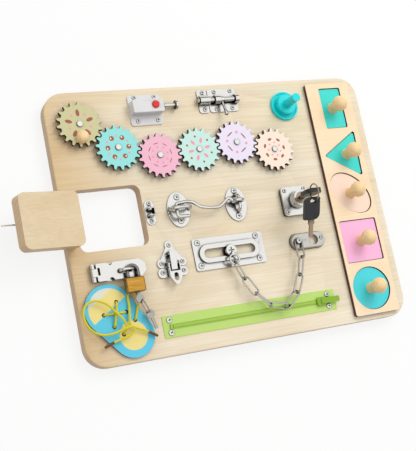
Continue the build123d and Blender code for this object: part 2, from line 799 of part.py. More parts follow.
lip_x = centred(toggle_x, toggle_lip_width)
ear_width = toggle_ear_outer - toggle_ear_inner
ear_points = [
    (toggle_base_y[0] + overrun, 0),
    (toggle_base_y[1], 0),
    (toggle_base_y[1], toggle_ear_radius),
    (toggle_pin[0], toggle_pin[1] - toggle_ear_radius),
    (toggle_pin[0], toggle_pin[1] + toggle_ear_radius),
    (toggle_base_y[1], toggle_pin[1]),
    (toggle_base_y[0] + overrun, plate_thickness),
]
with BuildPart() as toggle_latch_plates:
    with BuildSketch(on_face(0)):
        with Locations(*toggle_keeper_screws):
            Circle(toggle_keeper_web)
        make_hull()
        with Locations(*toggle_keeper_screws):
            Circle(toggle_keeper_lobe)
    extrude(amount=plate_thickness)
    add(block(lip_x, toggle_lip_y, (0, toggle_lip_roof)))
    add(slab(toggle_base_x, toggle_base_y, (0, plate_thickness), toggle_base_round))
    for ear_x in (toggle_x - toggle_ear_outer, toggle_x + toggle_ear_inner):
        with BuildSketch(Plane(origin=at(ear_x, 0, 0), x_dir=(0, 1, 0), z_dir=(1, 0, 0))):
            Polygon(*ear_points, align=None)
            with Locations(toggle_pin):
                Circle(toggle_ear_radius)
        extrude(amount=ear_width)
    add(across_toggle(toggle_pin, toggle_lever_outer, toggle_pin_radius))
    add(screw_bores(toggle_keeper_screws + toggle_base_screws, plate_thickness), mode=Mode.SUBTRACT)
save(toggle_latch_plates.part, "toggle_latch_plates")

arm_width = toggle_lever_outer - toggle_lever_inner
arm_points = [
    (toggle_pin[0], toggle_pin[1] - toggle_arm_radius),
    (toggle_pin[0], toggle_lever_top[1]),
    (toggle_taper_start, toggle_lever_top[1]),
    (toggle_taper_start, toggle_lever_top[0] - overrun),
    (toggle_lever_front, toggle_pin[1] - toggle_arm_radius),
]
with BuildPart() as toggle_lever:
    with BuildSketch(on_face(toggle_lever_top[0])):
        with Locations((toggle_x, toggle_lever_end + toggle_tip_radius)):
            Circle(toggle_tip_radius)
        with Locations((toggle_x, (toggle_lever_front + toggle_taper_start) / 2)):
            Rectangle(2 * toggle_lever_outer, toggle_lever_front - toggle_taper_start)
        make_hull()
    extrude(amount=toggle_lever_top[1] - toggle_lever_top[0])
    for arm_x in (toggle_x - toggle_lever_outer, toggle_x + toggle_lever_inner):
        with BuildSketch(Plane(origin=at(arm_x, 0, 0), x_dir=(0, 1, 0), z_dir=(1, 0, 0))):
            Polygon(*arm_points, align=None)
            with Locations(toggle_pin):
                Circle(toggle_arm_radius)
        extrude(amount=arm_width)
    add(across_toggle(claw_pin, toggle_lever_outer, claw_pin_radius))
    bore_radius = toggle_pin_radius + running_clearance
    add(across_toggle(toggle_pin, toggle_lever_outer + overrun, bore_radius), mode=Mode.SUBTRACT)
    lever_slot_x = centred(toggle_x, toggle_slot_width)
    lever_slot_round = toggle_slot_width * near_half_share
    add(slab(lever_slot_x, toggle_slot_y, toggle_lever_top, lever_slot_round), mode=Mode.SUBTRACT)
save(toggle_lever.part, "toggle_lever")

with BuildPart() as toggle_claw:
    with BuildSketch(Plane(origin=at(toggle_x - claw_half_width, 0, 0), x_dir=(0, 1, 0), z_dir=(1, 0, 0))):
        with BuildLine():
            Polyline(*claw_points, close=True)
        make_face()
        with Locations(claw_pin):
            Circle(claw_knuckle_radius)
            Circle(claw_pin_radius + running_clearance, mode=Mode.SUBTRACT)
    extrude(amount=2 * claw_half_width)
save(toggle_claw.part, "toggle_claw")

# Door chain: a slider in a slotted track, a chain of oval links and an anchor plate
track_place = (-16.3, -46.4)
track_size = (87.8, 36)
track_rim_place = (-17.5, -46.8)
track_rim_size = (74, 20.5)
track_rim_roof = 5
track_slot_size = (63.5, 10.5)
track_screws = [(-54, -33), (18.9, -33), (18.9, -59), (-54, -59)]
anchor_place = (84.5, -46.8)
anchor_size = (47, 20)
anchor_taper_angle = 18
anchor_hole_place = (91.4, -46.8)
anchor_hole_radius = 5.75
anchor_screws = [(101.9, -45.7)]
ring_screw = (69.9, -46.6)
ring_screw_seat = 8.3
anchor_ring_twist = 0
chain_wire_radius = 1
chain_link_length = 25.6
chain_link_width = 10.5
chain_pitch = 20.9
chain_height = 10.7
chain_start = (-17, -61.5)
chain_angles = [-68.81, -59.56, -45.65, -13.85, 43.4, 63.3, 71.26]
chain_twists = [90, 0, 58, -58, 55, -12, 86]
chain_loose_extra = 0.8
chain_loose_links = {"d": 1, "e": -1}
chain_names = "abcdefg"
slider_place = (-17.6, -46.8)
slider_flange_radius = 7.5
slider_flange_height = (0.8, 2.4)
slider_shank_radius = 4.8
slider_head_radius = 6.2
slider_head_roof = 9
slider_cross_length = 7
slider_cross_width = 1.4
slider_cross_depth = 1
slider_ring_radius = 5.5
slider_ring_wire = 1.2
slider_neck_width = 3

with BuildPart() as chain_track:
    with BuildSketch(on_face(0)):
        with Locations(track_place):
            RectangleRounded(*track_size, plate_corner_radius)
    extrude(amount=plate_thickness)
    with BuildSketch(on_face(0)):
        with Locations(track_rim_place):
            SlotOverall(*track_rim_size)
    extrude(amount=track_rim_roof)
    with BuildSketch(on_face(0)):
        with Locations(track_rim_place):
            SlotOverall(*[size - 2 * plate_thickness for size in track_rim_size])
    extrude(amount=track_rim_roof - plate_thickness, mode=Mode.SUBTRACT)
    with BuildSketch(on_face(0)):
        with Locations(track_rim_place):
            SlotOverall(*track_slot_size)
    extrude(amount=track_rim_roof, mode=Mode.SUBTRACT)
    add(screw_bores(track_screws, plate_thickness), mode=Mode.SUBTRACT)
save(chain_track.part, "chain_track")

link_spare = (chain_link_length - 2 * chain_wire_radius - chain_pitch) / 2
slider_ring_y = chain_start[1] - link_spare + slider_ring_radius
slider_ring_centre = at(chain_start[0], slider_ring_y, chain_height)
slider_neck_x = centred(slider_place[0], slider_neck_width)
slider_neck_y = (
    slider_ring_y + slider_ring_radius - slider_ring_wire,
    slider_place[1] - slider_head_radius / 2,
)
slider_recess = cross_recess(
    *slider_place,
    slider_cross_length,
    slider_cross_width,
    (slider_head_roof - slider_cross_depth, slider_head_roof + 2 * overrun),
)
with BuildPart() as chain_slider:
    add(pillars([slider_place], slider_flange_radius, *slider_flange_height))
    add(pillars([slider_place], slider_shank_radius, slider_flange_height[0], track_rim_roof))
    add(pillars([slider_place], slider_head_radius, track_rim_roof, slider_head_roof))
    add(block(slider_neck_x, slider_neck_y, (track_rim_roof + overrun, chain_height + slider_ring_wire)))
    add(ring(slider_ring_centre, (0, 0, 1), slider_ring_radius, slider_ring_wire))
    add(slider_recess, mode=Mode.SUBTRACT)
save(chain_slider.part, "chain_slider")


def chain_link(pivot, angle, twist, tilt_height=0, extra=0, extra_side=0):
    """One oval link whose pitch starts at a pivot, turned about its own long axis by a twist."""
    far = along(pivot, angle, chain_pitch)
    near_point = at(*pivot, chain_height)
    far_point = at(*far, chain_height + tilt_height)
    direction = far_point - near_point
    across = Vector(-sin(radians(angle)), cos(radians(angle)), 0)
    upright = direction.normalized().cross(across)
    normal = upright * cos(radians(twist)) + across * sin(radians(twist))
    middle = (near_point + far_point) / 2 + direction.normalized() * (extra_side * extra / 2)
    place = Plane(origin=middle, x_dir=direction, z_dir=normal)
    return wire_link(place, chain_link_length + extra, chain_link_width, chain_wire_radius)


pivot = chain_start
for name, angle, twist in zip(chain_names, chain_angles, chain_twists):
    loose_side = chain_loose_links.get(name, 0)
    extra = chain_loose_extra * abs(loose_side)
    save(chain_link(pivot, angle, twist, 0, extra, loose_side), f"chain_link_{name}")
    pivot = along(pivot, angle, chain_pitch)
chain_end = pivot

anchor_ring_angle = degrees(atan2(ring_screw[1] - chain_end[1], ring_screw[0] - chain_end[0]))
anchor_ring_drop = plate_thickness + track_rim_roof - chain_height - chain_wire_radius + loose_clearance
with BuildPart() as chain_anchor_plate:
    with BuildSketch(on_face(0)):
        with Locations(anchor_place):
            SlotOverall(*anchor_size)
    extrude(amount=track_rim_roof, taper=anchor_taper_angle)
    with BuildSketch(on_face(0)):
        with Locations(anchor_place):
            SlotOverall(*[size - 2 * plate_thickness for size in anchor_size])
    extrude(amount=track_rim_roof - plate_thickness, taper=anchor_taper_angle, mode=Mode.SUBTRACT)
    add(pillars([anchor_hole_place], anchor_hole_radius, 0, track_rim_roof), mode=Mode.SUBTRACT)
    add(screw_bores(anchor_screws + [ring_screw], track_rim_roof), mode=Mode.SUBTRACT)
anchor_ring = chain_link(chain_end, anchor_ring_angle, anchor_ring_twist, anchor_ring_drop)
save(Compound(children=[chain_anchor_plate.part.solid(), anchor_ring.solid()]), "chain_anchor")

# Drawer lock with one key in it and a spare key on a split ring
lock_place = (78.7, 1)
lock_plate_side = 34
lock_plate_height = 6
lock_corner_radius = 4
lock_screws = [(65.9, 13.7), (91.8, 14.3), (65.3, -12.1), (91.5, -12)]
lock_barrel_radius = 9.5
lock_barrel_roof = 20
lock_plug_floor = 12
lock_plug_radius = 6.9
lock_plug_bore = 7
key_blade_size = (7, 2.4)
key_head_width = 19
key_head_thickness = 5
key_head_height = (30, 54)
key_head_round = 7
key_hole_x = 74.5
key_hole_height = 48
key_hole_radius = 2.3
spare_ring_radius = 9
spare_ring_wire = 0.7
spare_ring_centre = (-1.8, 56)
spare_hang_reach = 9.95
hang_angle = 206.8
spare_x = 71.5
spare_hole_slack = 4
spare_head_width = 19
spare_head_length = 25
spare_head_inset = 3.8
spare_blades = [(7.4, 7), (4.8, 21)]
spare_blade_thickness = 2
hang_direction = (cos(radians(hang_angle)), sin(radians(hang_angle)))
head_middle = (key_head_height[0] + key_head_height[1]) / 2
blade_x = centred(lock_place[0], key_blade_size[0])
blade_y = centred(lock_place[1], key_blade_size[1])

with BuildPart() as drawer_lock_body:
    with BuildSketch(on_face(0)):
        with Locations(lock_place):
            RectangleRounded(lock_plate_side, lock_plate_side, lock_corner_radius)
    extrude(amount=lock_plate_height)
    add(pillars([lock_place], lock_barrel_radius, 0, lock_barrel_roof))
    add(pillars([lock_place], lock_plug_bore, lock_plug_floor, lock_barrel_roof), mode=Mode.SUBTRACT)
    add(screw_bores(lock_screws, lock_plate_height), mode=Mode.SUBTRACT)
save(drawer_lock_body.part, "drawer_lock_body")

key_back_origin = at(lock_place[0], lock_place[1] + key_head_thickness / 2, 0)
key_back = Plane(origin=key_back_origin, x_dir=(1, 0, 0), z_dir=(0, -1, 0))
with BuildPart() as lock_key:
    add(pillars([lock_place], lock_plug_radius, lock_plug_floor, lock_barrel_roof))
    add(block(blade_x, blade_y, (lock_barrel_roof - overrun, key_head_height[0] + overrun)))
    with BuildSketch(key_back) as head_outline:
        with Locations((0, head_middle)):
            Rectangle(key_head_width, key_head_height[1] - key_head_height[0])
        fillet(head_outline.vertices().group_by(Axis.Z)[-1], radius=key_head_round)
        with Locations((key_hole_x - lock_place[0], key_hole_height)):
            Circle(key_hole_radius, mode=Mode.SUBTRACT)
    extrude(amount=key_head_thickness)
save(lock_key.part, "lock_key")

hang_hole = (
    spare_ring_centre[0] + spare_hang_reach * hang_direction[0],
    spare_ring_centre[1] + spare_hang_reach * hang_direction[1],
)
spare_plane = Plane(
    origin=at(spare_x, *hang_hole),
    x_dir=(1, 0, 0),
    z_dir=(0, -hang_direction[1], hang_direction[0]),
)
spare_face = spare_plane.offset(-key_head_thickness / 2)
down_sign = 1 if spare_plane.y_dir.Y < 0 else -1
with BuildPart() as spare_key_blank:
    with BuildSketch(spare_face) as spare_outline:
        with Locations((0, down_sign * (spare_head_length / 2 - spare_head_inset))):
            Rectangle(spare_head_width, spare_head_length)
        fillet(spare_outline.vertices().sort_by(Axis.Z)[-2:], radius=key_head_round)
        with Locations((key_hole_x - spare_x - spare_hole_slack / 2, 0)):
            SlotCenterToCenter(spare_hole_slack, 2 * key_hole_radius, mode=Mode.SUBTRACT)
    extrude(amount=key_head_thickness)
    with BuildSketch(spare_plane.offset(-spare_blade_thickness / 2)):
        for width, length in spare_blades:
            reach = spare_head_length - spare_head_inset - overrun
            with Locations((0, down_sign * (reach + length / 2))):
                Rectangle(width, length)
    extrude(amount=spare_blade_thickness)
spare_ring = ring(at(key_hole_x, *spare_ring_centre), (1, 0, 0), spare_ring_radius, spare_ring_wire)
save(Compound(children=[spare_key_blank.part.solid(), spare_ring.solid()]), "spare_key")

# Zip: a tape screwed to the board, two rows of teeth, stops and a slider with a flat pull
zip_place = (-3.5, -118.7)
zip_size = (216, 24)
zip_tape_thickness = 0.8
zip_screws = [(-103.4, -111.7), (-103.3, -125.3), (94.9, -111.9), (94.8, -125.5)]
zip_teeth_x = (-100, 99)
zip_teeth_y = -119
zip_teeth_width = 5
zip_teeth_roof = 1.9
zip_tooth_pitch = 3
zip_tooth_gap = 1
zip_tooth_depth = 1.6
zip_tooth_floor = 1.2
zip_stop_size = (2.4, 5.4, 2.6)
zip_stop_x = -102.5
zip_slider_x = (79, 92)
zip_slider_width = 9.2
zip_slider_round = 2.3
zip_slider_roof = 4.3
zip_channel_roof = 2.15
zip_pull_x = (84, 108)
zip_pull_width = 6.5
zip_pull_height = (4.3, 5.3)

with BuildPart() as zip_tape:
    with BuildSketch(on_face(0)):
        with Locations(zip_place):
            Rectangle(*zip_size)
    extrude(amount=zip_tape_thickness)
    add(screw_bores(zip_screws, zip_tape_thickness), mode=Mode.SUBTRACT)
save(zip_tape.part, "zip_tape")

tooth_count = int((zip_teeth_x[1] - zip_teeth_x[0]) / zip_tooth_pitch)
with BuildPart() as zip_teeth_rows:
    add(block(zip_teeth_x, centred(zip_teeth_y, zip_teeth_width), (zip_tape_thickness, zip_teeth_roof)))
    with BuildSketch(on_face(zip_tooth_floor)):
        for tooth in range(tooth_count):
            for side, shift in ((-1, zip_tooth_pitch / 2), (1, zip_tooth_pitch)):
                gap_x = zip_teeth_x[0] + zip_tooth_pitch * tooth + shift
                gap_y = zip_teeth_y + side * (zip_teeth_width - zip_tooth_depth) / 2
                with Locations((gap_x, gap_y)):
                    Rectangle(zip_tooth_gap, zip_tooth_depth)
    extrude(amount=zip_teeth_roof, mode=Mode.SUBTRACT)
stop_x = centred(zip_stop_x, zip_stop_size[0])
stop_y = centred(zip_teeth_y, zip_stop_size[1])
with BuildPart() as zip_stop:
    add(block(stop_x, stop_y, (zip_tape_thickness, zip_stop_size[2])))
save(Compound(children=[zip_teeth_rows.part.solid(), zip_stop.part.solid()]), "zip_teeth")

channel_x = (zip_slider_x[0] - overrun, zip_slider_x[1] + overrun)
channel_y = centred(zip_teeth_y, zip_teeth_width + 2 * loose_clearance)
with BuildPart() as zip_slider:
    add(block(zip_slider_x, centred(zip_teeth_y, zip_slider_width), (zip_tape_thickness, zip_slider_roof)))
    fillet(zip_slider.edges().filter_by(Axis.Z), radius=zip_slider_round)
    add(block(channel_x, channel_y, (zip_tape_thickness, zip_channel_roof)), mode=Mode.SUBTRACT)
    add(slab(zip_pull_x, centred(zip_teeth_y, zip_pull_width), zip_pull_height, small_corner_radius))
save(zip_slider.part, "zip_slider")

# Shoe: a thin painted panel with six lace holes
shoe_heel = (-168, -91)
shoe_heel_radius = 27
shoe_toe = (-146.5, -121.5)
shoe_toe_radius = 23.7
shoe_thickness = 3
shoe_hole_radius = 2.1
shoe_holes = [(-159, -84), (-175, -96), (-150, -96), (-166, -110), (-142, -106), (-157, -119)]
pocket_depth = 7
pocket_margin = 5

with BuildPart() as shoe_panel:
    with BuildSketch(on_face(0)):
        with Locations(shoe_heel):
            Circle(shoe_heel_radius)
        with Locations(shoe_toe):
            Circle(shoe_toe_radius)
        make_hull()
        with Locations(*shoe_holes):
            Circle(shoe_hole_radius, mode=Mode.SUBTRACT)
    extrude(amount=shoe_thickness)
save(shoe_panel.part, "shoe_panel")

# Lace: one cord through the six holes and a loose bow, with hard tips at both ends.
# Its hidden runs lie in a shallow pocket routed in the board under the shoe.
lace_radius = 1.2
lace_soft_bend = 7
lace_hole_bend = 2
lace_run_share = 0.45
lace_under = -3.6
lace_low = 4.4
lace_over = 6.9
aglet_radius = 1.45
aglet_length = 11
first_tip = (-121.6, -126.4, 6.5)
second_tip = (-181, -129.5, 6)
lace_first_end = [(-132, -120, 6.8), (-142, -115, 6.8), (-150, -111.5, 6.8)]
lace_right_loop = [(-148.6, -101, 6.8), (-146.5, -90, 5.6), (-146.4, -80, 4.6), (-143, -73.5, 4.4)]
lace_right_loop += [(-137, -75, 4.4), (-134.8, -84, 4.8), (-137.5, -94, 5.2)]
lace_rise = [(-154.3, -113.5, 7.6), (-154.8, -106.5, 9.5)]
lace_left_loop = [(-163, -96, 9.5), (-171, -85.5, 9.3), (-182, -79.5, 8.4), (-193, -81.5, 7)]
lace_left_loop += [(-198, -90, 6.4), (-197, -102, 6.2), (-190, -112.5, 6.2), (-179, -117.5, 7.2)]
lace_left_loop += [(-168, -116.8, 9)]
lace_second_end = [(-157, -113.6, 10.4), (-147.5, -111.8, 10.4), (-146.8, -118.5, 9.6)]
lace_second_end += [(-156, -122.6, 7.6), (-168, -125, 6.4)]

hole_order = [4, 2, 1, 0, 3, 5]
lace_route = list(lace_first_end + lace_right_loop)
bend_caps = [lace_soft_bend] * (len(lace_route) - 1)
levels = [lace_low, lace_low, lace_low, lace_over, lace_over, lace_low]
for step, (index, level) in enumerate(zip(hole_order, levels)):
    x, y = shoe_holes[index]
    top = (x, y, level)
    bottom = (x, y, lace_under)
    lace_route += [top, bottom] if step % 2 == 0 else [bottom, top]
    bend_caps += [lace_hole_bend, lace_hole_bend]
rest_of_route = lace_rise + lace_left_loop + lace_second_end
lace_route += rest_of_route
bend_caps += [lace_soft_bend] * len(rest_of_route)


def pull_back(end, inner, distance):
    """Point at a distance from an end, towards an inner point."""
    run = Vector(*inner) - Vector(*end)
    return Vector(*end) + run.normalized() * distance


first_joint = pull_back(first_tip, lace_route[0], aglet_length)
second_joint = pull_back(second_tip, lace_route[-1], aglet_length)
lace_points = [first_joint + Vector(0, 0, front)]
lace_points += [at(*point) for point in lace_route]
lace_points += [second_joint + Vector(0, 0, front)]
lace_radii = []
bend_caps = [lace_soft_bend] + bend_caps
for before, here, after, cap in zip(lace_points, lace_points[1:], lace_points[2:], bend_caps):
    turn = (here - before).get_angle(after - here)
    run = min((here - before).length, (after - here).length)
    lace_radii.append(round(min(cap, lace_run_share * run / tan(radians(turn) / 2)), 2))
print("lace bend radii", lace_radii)
shoe_lace = round_wire(lace_points, lace_radii, lace_radius)
with BuildLine(mode=Mode.PRIVATE) as lace_line:
    FilletPolyline(*lace_points, radius=lace_radii)
lace_length = lace_line.wire().length
volume_share = shoe_lace.volume / (pi * lace_radius**2 * lace_length)
print("lace length", round(lace_length, 1), "volume share", round(volume_share, 3))
save(shoe_lace, "shoe_lace")
first_aglet = bar(at(*first_tip), first_joint + Vector(0, 0, front), aglet_radius)
second_aglet = bar(at(*second_tip), second_joint + Vector(0, 0, front), aglet_radius)
save(Compound(children=[first_aglet.solid(), second_aglet.solid()]), "lace_aglets")

# Door: hinge leaves, a strike with a tongue and the catch that it meets
hinge_edge_inset = 1
hinge_x = window_x - window_width / 2 + hinge_edge_inset
hinge_height = 2
hinge_pin_radius = 0.9
hinge_knuckle_radius = 1.9
hinge_leaf_thickness = 1
hinge_leaf_width = 12
hinge_half_length = 17.5
hinge_middle_half = 6
hinge_frame_screw_offset = 13
hinge_door_screw_offset = 5
hinge_screw_inset = 8
hinge_axis = Axis((hinge_x, 0, front + hinge_height), (0, 1, 0))
strike_size = (10, 28)
strike_thickness = 1.2
strike_y = 7.3
strike_edge_inset = 1
strike_screw_offset = 10
tongue_thickness = 1.2
tongue_height = (3.5, 6.5)
tongue_end = -99.7
catch_place = (-101.4, 7.3)
catch_plate_size = (28.2, 11.5)
catch_plate_thickness = 1
catch_screws = [(-101.4, 17.3), (-101.4, -2.7)]
catch_case_x = (-106, -98)
catch_case_roof = 8.5
catch_wall_offset = (3.4, 4.4)
catch_ball_radius = 2.5
catch_ball_height = 5.5
catch_back_thickness = 1

hinge_y = (window_y - hinge_half_length, window_y + hinge_half_length)
hinge_low_span = (hinge_y[0], window_y - hinge_middle_half)
hinge_high_span = (window_y + hinge_middle_half, hinge_y[1])
hinge_middle_span = centred(window_y, 2 * (hinge_middle_half - loose_clearance))
frame_screw_x = hinge_x - hinge_screw_inset
door_screw_x = hinge_x + hinge_screw_inset
hinge_frame_screws = [(frame_screw_x, window_y + side * hinge_frame_screw_offset) for side in (-1, 1)]
hinge_door_screws = [(door_screw_x, window_y + side * hinge_door_screw_offset) for side in (-1, 1)]


def hinge_bar(y_span, radius):
    """Round bar along the door hinge's axis."""
    return bar(at(hinge_x, y_span[0], hinge_height), at(hinge_x, y_span[1], hinge_height), radius)


frame_leaf_x = (hinge_x - hinge_leaf_width, hinge_x)
frame_notch_x = (hinge_x - hinge_knuckle_radius, hinge_x + overrun)
with BuildPart() as hinge_frame_leaf:
    add(slab(frame_leaf_x, hinge_y, (0, hinge_leaf_thickness), small_corner_radius))
    notch = block(frame_notch_x, centred(window_y, 2 * hinge_middle_half), (0, hinge_leaf_thickness))
    add(notch, mode=Mode.SUBTRACT)
    add(hinge_bar(hinge_low_span, hinge_knuckle_radius))
    add(hinge_bar(hinge_high_span, hinge_knuckle_radius))
    add(hinge_bar(hinge_y, hinge_pin_radius))
    add(screw_bores(hinge_frame_screws, hinge_leaf_thickness), mode=Mode.SUBTRACT)
save(hinge_frame_leaf.part, "hinge_frame_leaf")

door_leaf_x = (hinge_x + hinge_knuckle_radius + loose_clearance, hinge_x + hinge_leaf_width)
door_tab_x = (hinge_x, hinge_x + hinge_leaf_width / 2)
with BuildPart() as hinge_door_leaf:
    add(slab(door_leaf_x, hinge_y, (0, hinge_leaf_thickness), small_corner_radius))
    add(block(door_tab_x, hinge_middle_span, (hinge_leaf_lift, hinge_leaf_thickness)))
    add(hinge_bar(hinge_middle_span, hinge_knuckle_radius))
    add(hinge_bar(hinge_y, hinge_pin_radius + running_clearance), mode=Mode.SUBTRACT)
    add(screw_bores(hinge_door_screws, hinge_leaf_thickness), mode=Mode.SUBTRACT)
save(hinge_door_leaf.part.rotate(hinge_axis, -door_open_angle), "hinge_door_leaf")

strike_edge = window_x + door_width / 2 - strike_edge_inset
strike_x = (strike_edge - strike_size[0], strike_edge)
strike_screw_x = strike_edge - strike_size[0] / 2
strike_screws = [(strike_screw_x, strike_y + side * strike_screw_offset) for side in (-1, 1)]
tongue_root = strike_edge - 2 * tongue_thickness
tongue_y = centred(strike_y, tongue_thickness)
with BuildPart() as door_strike:
    add(slab(strike_x, centred(strike_y, strike_size[1]), (0, strike_thickness), plate_corner_radius))
    add(block((tongue_root, strike_edge), tongue_y, (0, tongue_height[1])))
    add(block((tongue_root, tongue_end), tongue_y, tongue_height))
    add(screw_bores(strike_screws, strike_thickness), mode=Mode.SUBTRACT)
save(door_strike.part.rotate(hinge_axis, -door_open_angle), "door_strike")

with BuildPart() as door_panel:
    with BuildSketch(on_face(-board_thickness)):
        with Locations((window_x, window_y)):
            RectangleRounded(door_width, door_height, door_corner_radius)
    extrude(amount=board_thickness)
    add(screw_bores(hinge_door_screws + strike_screws, 0), mode=Mode.SUBTRACT)
save(door_panel.part.rotate(hinge_axis, -door_open_angle), "door_panel")

# Ball catch: a case with two sprung balls that pinch the strike's tongue
ball_x = catch_place[0] - overrun
catch_back_x = (catch_case_x[1] - catch_back_thickness, catch_case_x[1])
seat_low = at(ball_x, catch_place[1] - catch_plate_size[1], catch_ball_height)
seat_high = at(ball_x, catch_place[1] + catch_plate_size[1], catch_ball_height)
with BuildPart() as catch_case:
    with BuildSketch(on_face(0)):
        with Locations(Location((*catch_place, 0), (0, 0, 90))):
            SlotOverall(*catch_plate_size)
    extrude(amount=catch_plate_thickness)
    for side in (-1, 1):
        walls = sorted(catch_place[1] + side * reach for reach in catch_wall_offset)
        add(block(catch_case_x, walls, (0, catch_case_roof)))
    add(block(catch_back_x, centred(catch_place[1], 2 * catch_wall_offset[1]), (0, catch_case_roof)))
    add(bar(seat_low, seat_high, catch_ball_radius + running_clearance), mode=Mode.SUBTRACT)
    add(screw_bores(catch_screws, catch_plate_thickness), mode=Mode.SUBTRACT)
catch_solids = [catch_case.part.solid()]
for side in (-1, 1):
    ball_place = at(ball_x, catch_place[1] + side * catch_wall_offset[0], catch_ball_height)
    catch_solids.append(ball(ball_place, catch_ball_radius).solid())
save(Compound(children=catch_solids), "ball_catch")

# Screws: pan heads with a cross recess, seated on their plates
screw_groups = [
    (latch_screws, plate_thickness, small_head_radius),
    (barrel_screws, barrel_plate_thickness, small_head_radius),
    (catch_screws, catch_plate_thickness, small_head_radius),
    (hook_screws, plate_thickness, large_head_radius),
    (toggle_keeper_screws + toggle_base_screws, plate_thickness, small_head_radius),
    (track_screws, plate_thickness, large_head_radius),
    (anchor_screws, track_rim_roof, small_head_radius),
    ([ring_screw], ring_screw_seat, large_head_radius),
    (lock_screws, lock_plate_height, small_head_radius),
    (zip_screws, zip_tape_thickness, large_head_radius),
    (hinge_frame_screws, hinge_leaf_thickness, small_head_radius),
]


def make_screws(places, seat, head_radius):
    """Pan-head screws standing on a seat height, one solid each."""
    solids = []
    for x, y in places:
        with BuildPart(mode=Mode.PRIVATE) as screw:
            add(pillars([(x, y)], head_radius, seat, seat + screw_head_height))
            fillet(screw.edges().sort_by(Axis.Z)[-1], radius=screw_head_height / 2)
            add(pillars([(x, y)], screw_shank_radius, -screw_depth, seat))
            recess = (seat + screw_head_height - screw_cross_depth, seat + 2 * screw_head_height)
            cross_length = screw_cross_share * head_radius
            add(cross_recess(x, y, cross_length, screw_cross_width, recess), mode=Mode.SUBTRACT)
        solids.append(screw.part.solid())
    return solids


plate_screw_solids = []
for places, seat, head_radius in screw_groups:
    plate_screw_solids += make_screws(places, seat, head_radius)
save(Compound(children=plate_screw_solids), "plate_screws")
door_screw_solids = make_screws(hinge_door_screws, hinge_leaf_thickness, small_head_radius)
door_screw_solids += make_screws(strike_screws, strike_thickness, small_head_radius)
turned_screws = [screw.rotate(hinge_axis, -door_open_angle) for screw in door_screw_solids]
save(Compound(children=turned_screws), "door_screws")

# Board, with the window, the axle, stud and screw bores and the pocket under the shoe
with BuildPart() as board_panel:
    with BuildSketch(on_face(-board_thickness)):
        RectangleRounded(board_width, board_height, board_corner_radius)
    extrude(amount=board_thickness)
    rims = board_panel.edges().group_by(Axis.Z)
    fillet(rims[0] + rims[-1], radius=board_edge_round)
    with BuildSketch(on_face(-board_thickness)):
        with Locations((window_x, window_y)):
            RectangleRounded(window_width, window_height, window_corner_radius)
    extrude(amount=board_thickness, mode=Mode.SUBTRACT)
    for places, _, _ in screw_groups:
        add(screw_bores(places, 0), mode=Mode.SUBTRACT)
    axle_bores = pillars(gear_centres, gear_axle_radius + running_clearance, -screw_depth, 0)
    stud_bore = pillars([display_place], display_stud_radius + running_clearance, -screw_depth, 0)
    add(axle_bores, mode=Mode.SUBTRACT)
    add(stud_bore, mode=Mode.SUBTRACT)
    with BuildSketch(on_face(-pocket_depth)):
        with Locations(*shoe_holes):
            Circle(pocket_margin)
        make_hull()
    extrude(amount=pocket_depth, mode=Mode.SUBTRACT)
save(board_panel.part, "board_panel")
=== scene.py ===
# %% [markdown]
# # A wooden busy board
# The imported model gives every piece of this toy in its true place. This lesson dresses those pieces:
# it softens their edges, gives each one the finish of the real thing, and adds the printed and woven
# details that a construction model leaves out. The frame is loaded first, because every later cell
# takes its sizes and places from it.

import json
import math
import random

import bmesh
import bpy
from mathutils import Matrix, Vector

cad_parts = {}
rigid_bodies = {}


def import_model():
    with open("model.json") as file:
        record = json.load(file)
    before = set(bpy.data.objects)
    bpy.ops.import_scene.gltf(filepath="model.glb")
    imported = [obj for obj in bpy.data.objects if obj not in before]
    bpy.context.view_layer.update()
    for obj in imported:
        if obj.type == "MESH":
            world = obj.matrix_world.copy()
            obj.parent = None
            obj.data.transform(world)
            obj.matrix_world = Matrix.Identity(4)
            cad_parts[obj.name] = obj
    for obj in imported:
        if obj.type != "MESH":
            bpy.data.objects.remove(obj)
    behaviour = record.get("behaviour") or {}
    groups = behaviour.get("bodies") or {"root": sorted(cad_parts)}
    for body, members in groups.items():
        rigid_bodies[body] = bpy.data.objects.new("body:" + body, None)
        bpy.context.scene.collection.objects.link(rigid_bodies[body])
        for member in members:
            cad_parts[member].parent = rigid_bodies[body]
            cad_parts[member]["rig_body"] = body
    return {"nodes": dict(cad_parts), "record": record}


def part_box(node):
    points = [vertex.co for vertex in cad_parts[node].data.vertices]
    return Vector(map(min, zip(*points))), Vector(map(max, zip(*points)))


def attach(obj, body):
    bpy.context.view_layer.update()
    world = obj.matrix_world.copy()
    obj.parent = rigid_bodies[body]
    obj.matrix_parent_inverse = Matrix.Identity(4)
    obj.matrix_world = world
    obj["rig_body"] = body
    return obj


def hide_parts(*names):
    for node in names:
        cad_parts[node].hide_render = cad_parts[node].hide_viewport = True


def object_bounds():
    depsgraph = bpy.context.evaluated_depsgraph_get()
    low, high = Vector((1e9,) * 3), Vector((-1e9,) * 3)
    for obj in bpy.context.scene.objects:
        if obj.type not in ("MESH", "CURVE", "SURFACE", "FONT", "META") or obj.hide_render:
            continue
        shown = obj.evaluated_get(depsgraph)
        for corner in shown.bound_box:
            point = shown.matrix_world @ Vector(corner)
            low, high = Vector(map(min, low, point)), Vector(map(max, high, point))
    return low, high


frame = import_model()
cad_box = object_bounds()
nodes = frame["nodes"]
body_of = {name: piece["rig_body"] for name, piece in nodes.items()}
slot_of = {part["node"]: part["material_slot"] for part in frame["record"]["subparts"]}
MM = 0.001
SEED = 7
random.seed(SEED)
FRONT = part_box("puzzle_frame")[0].z
print(len(nodes), "nodes, board face at", round(FRONT / MM, 2), "mm")

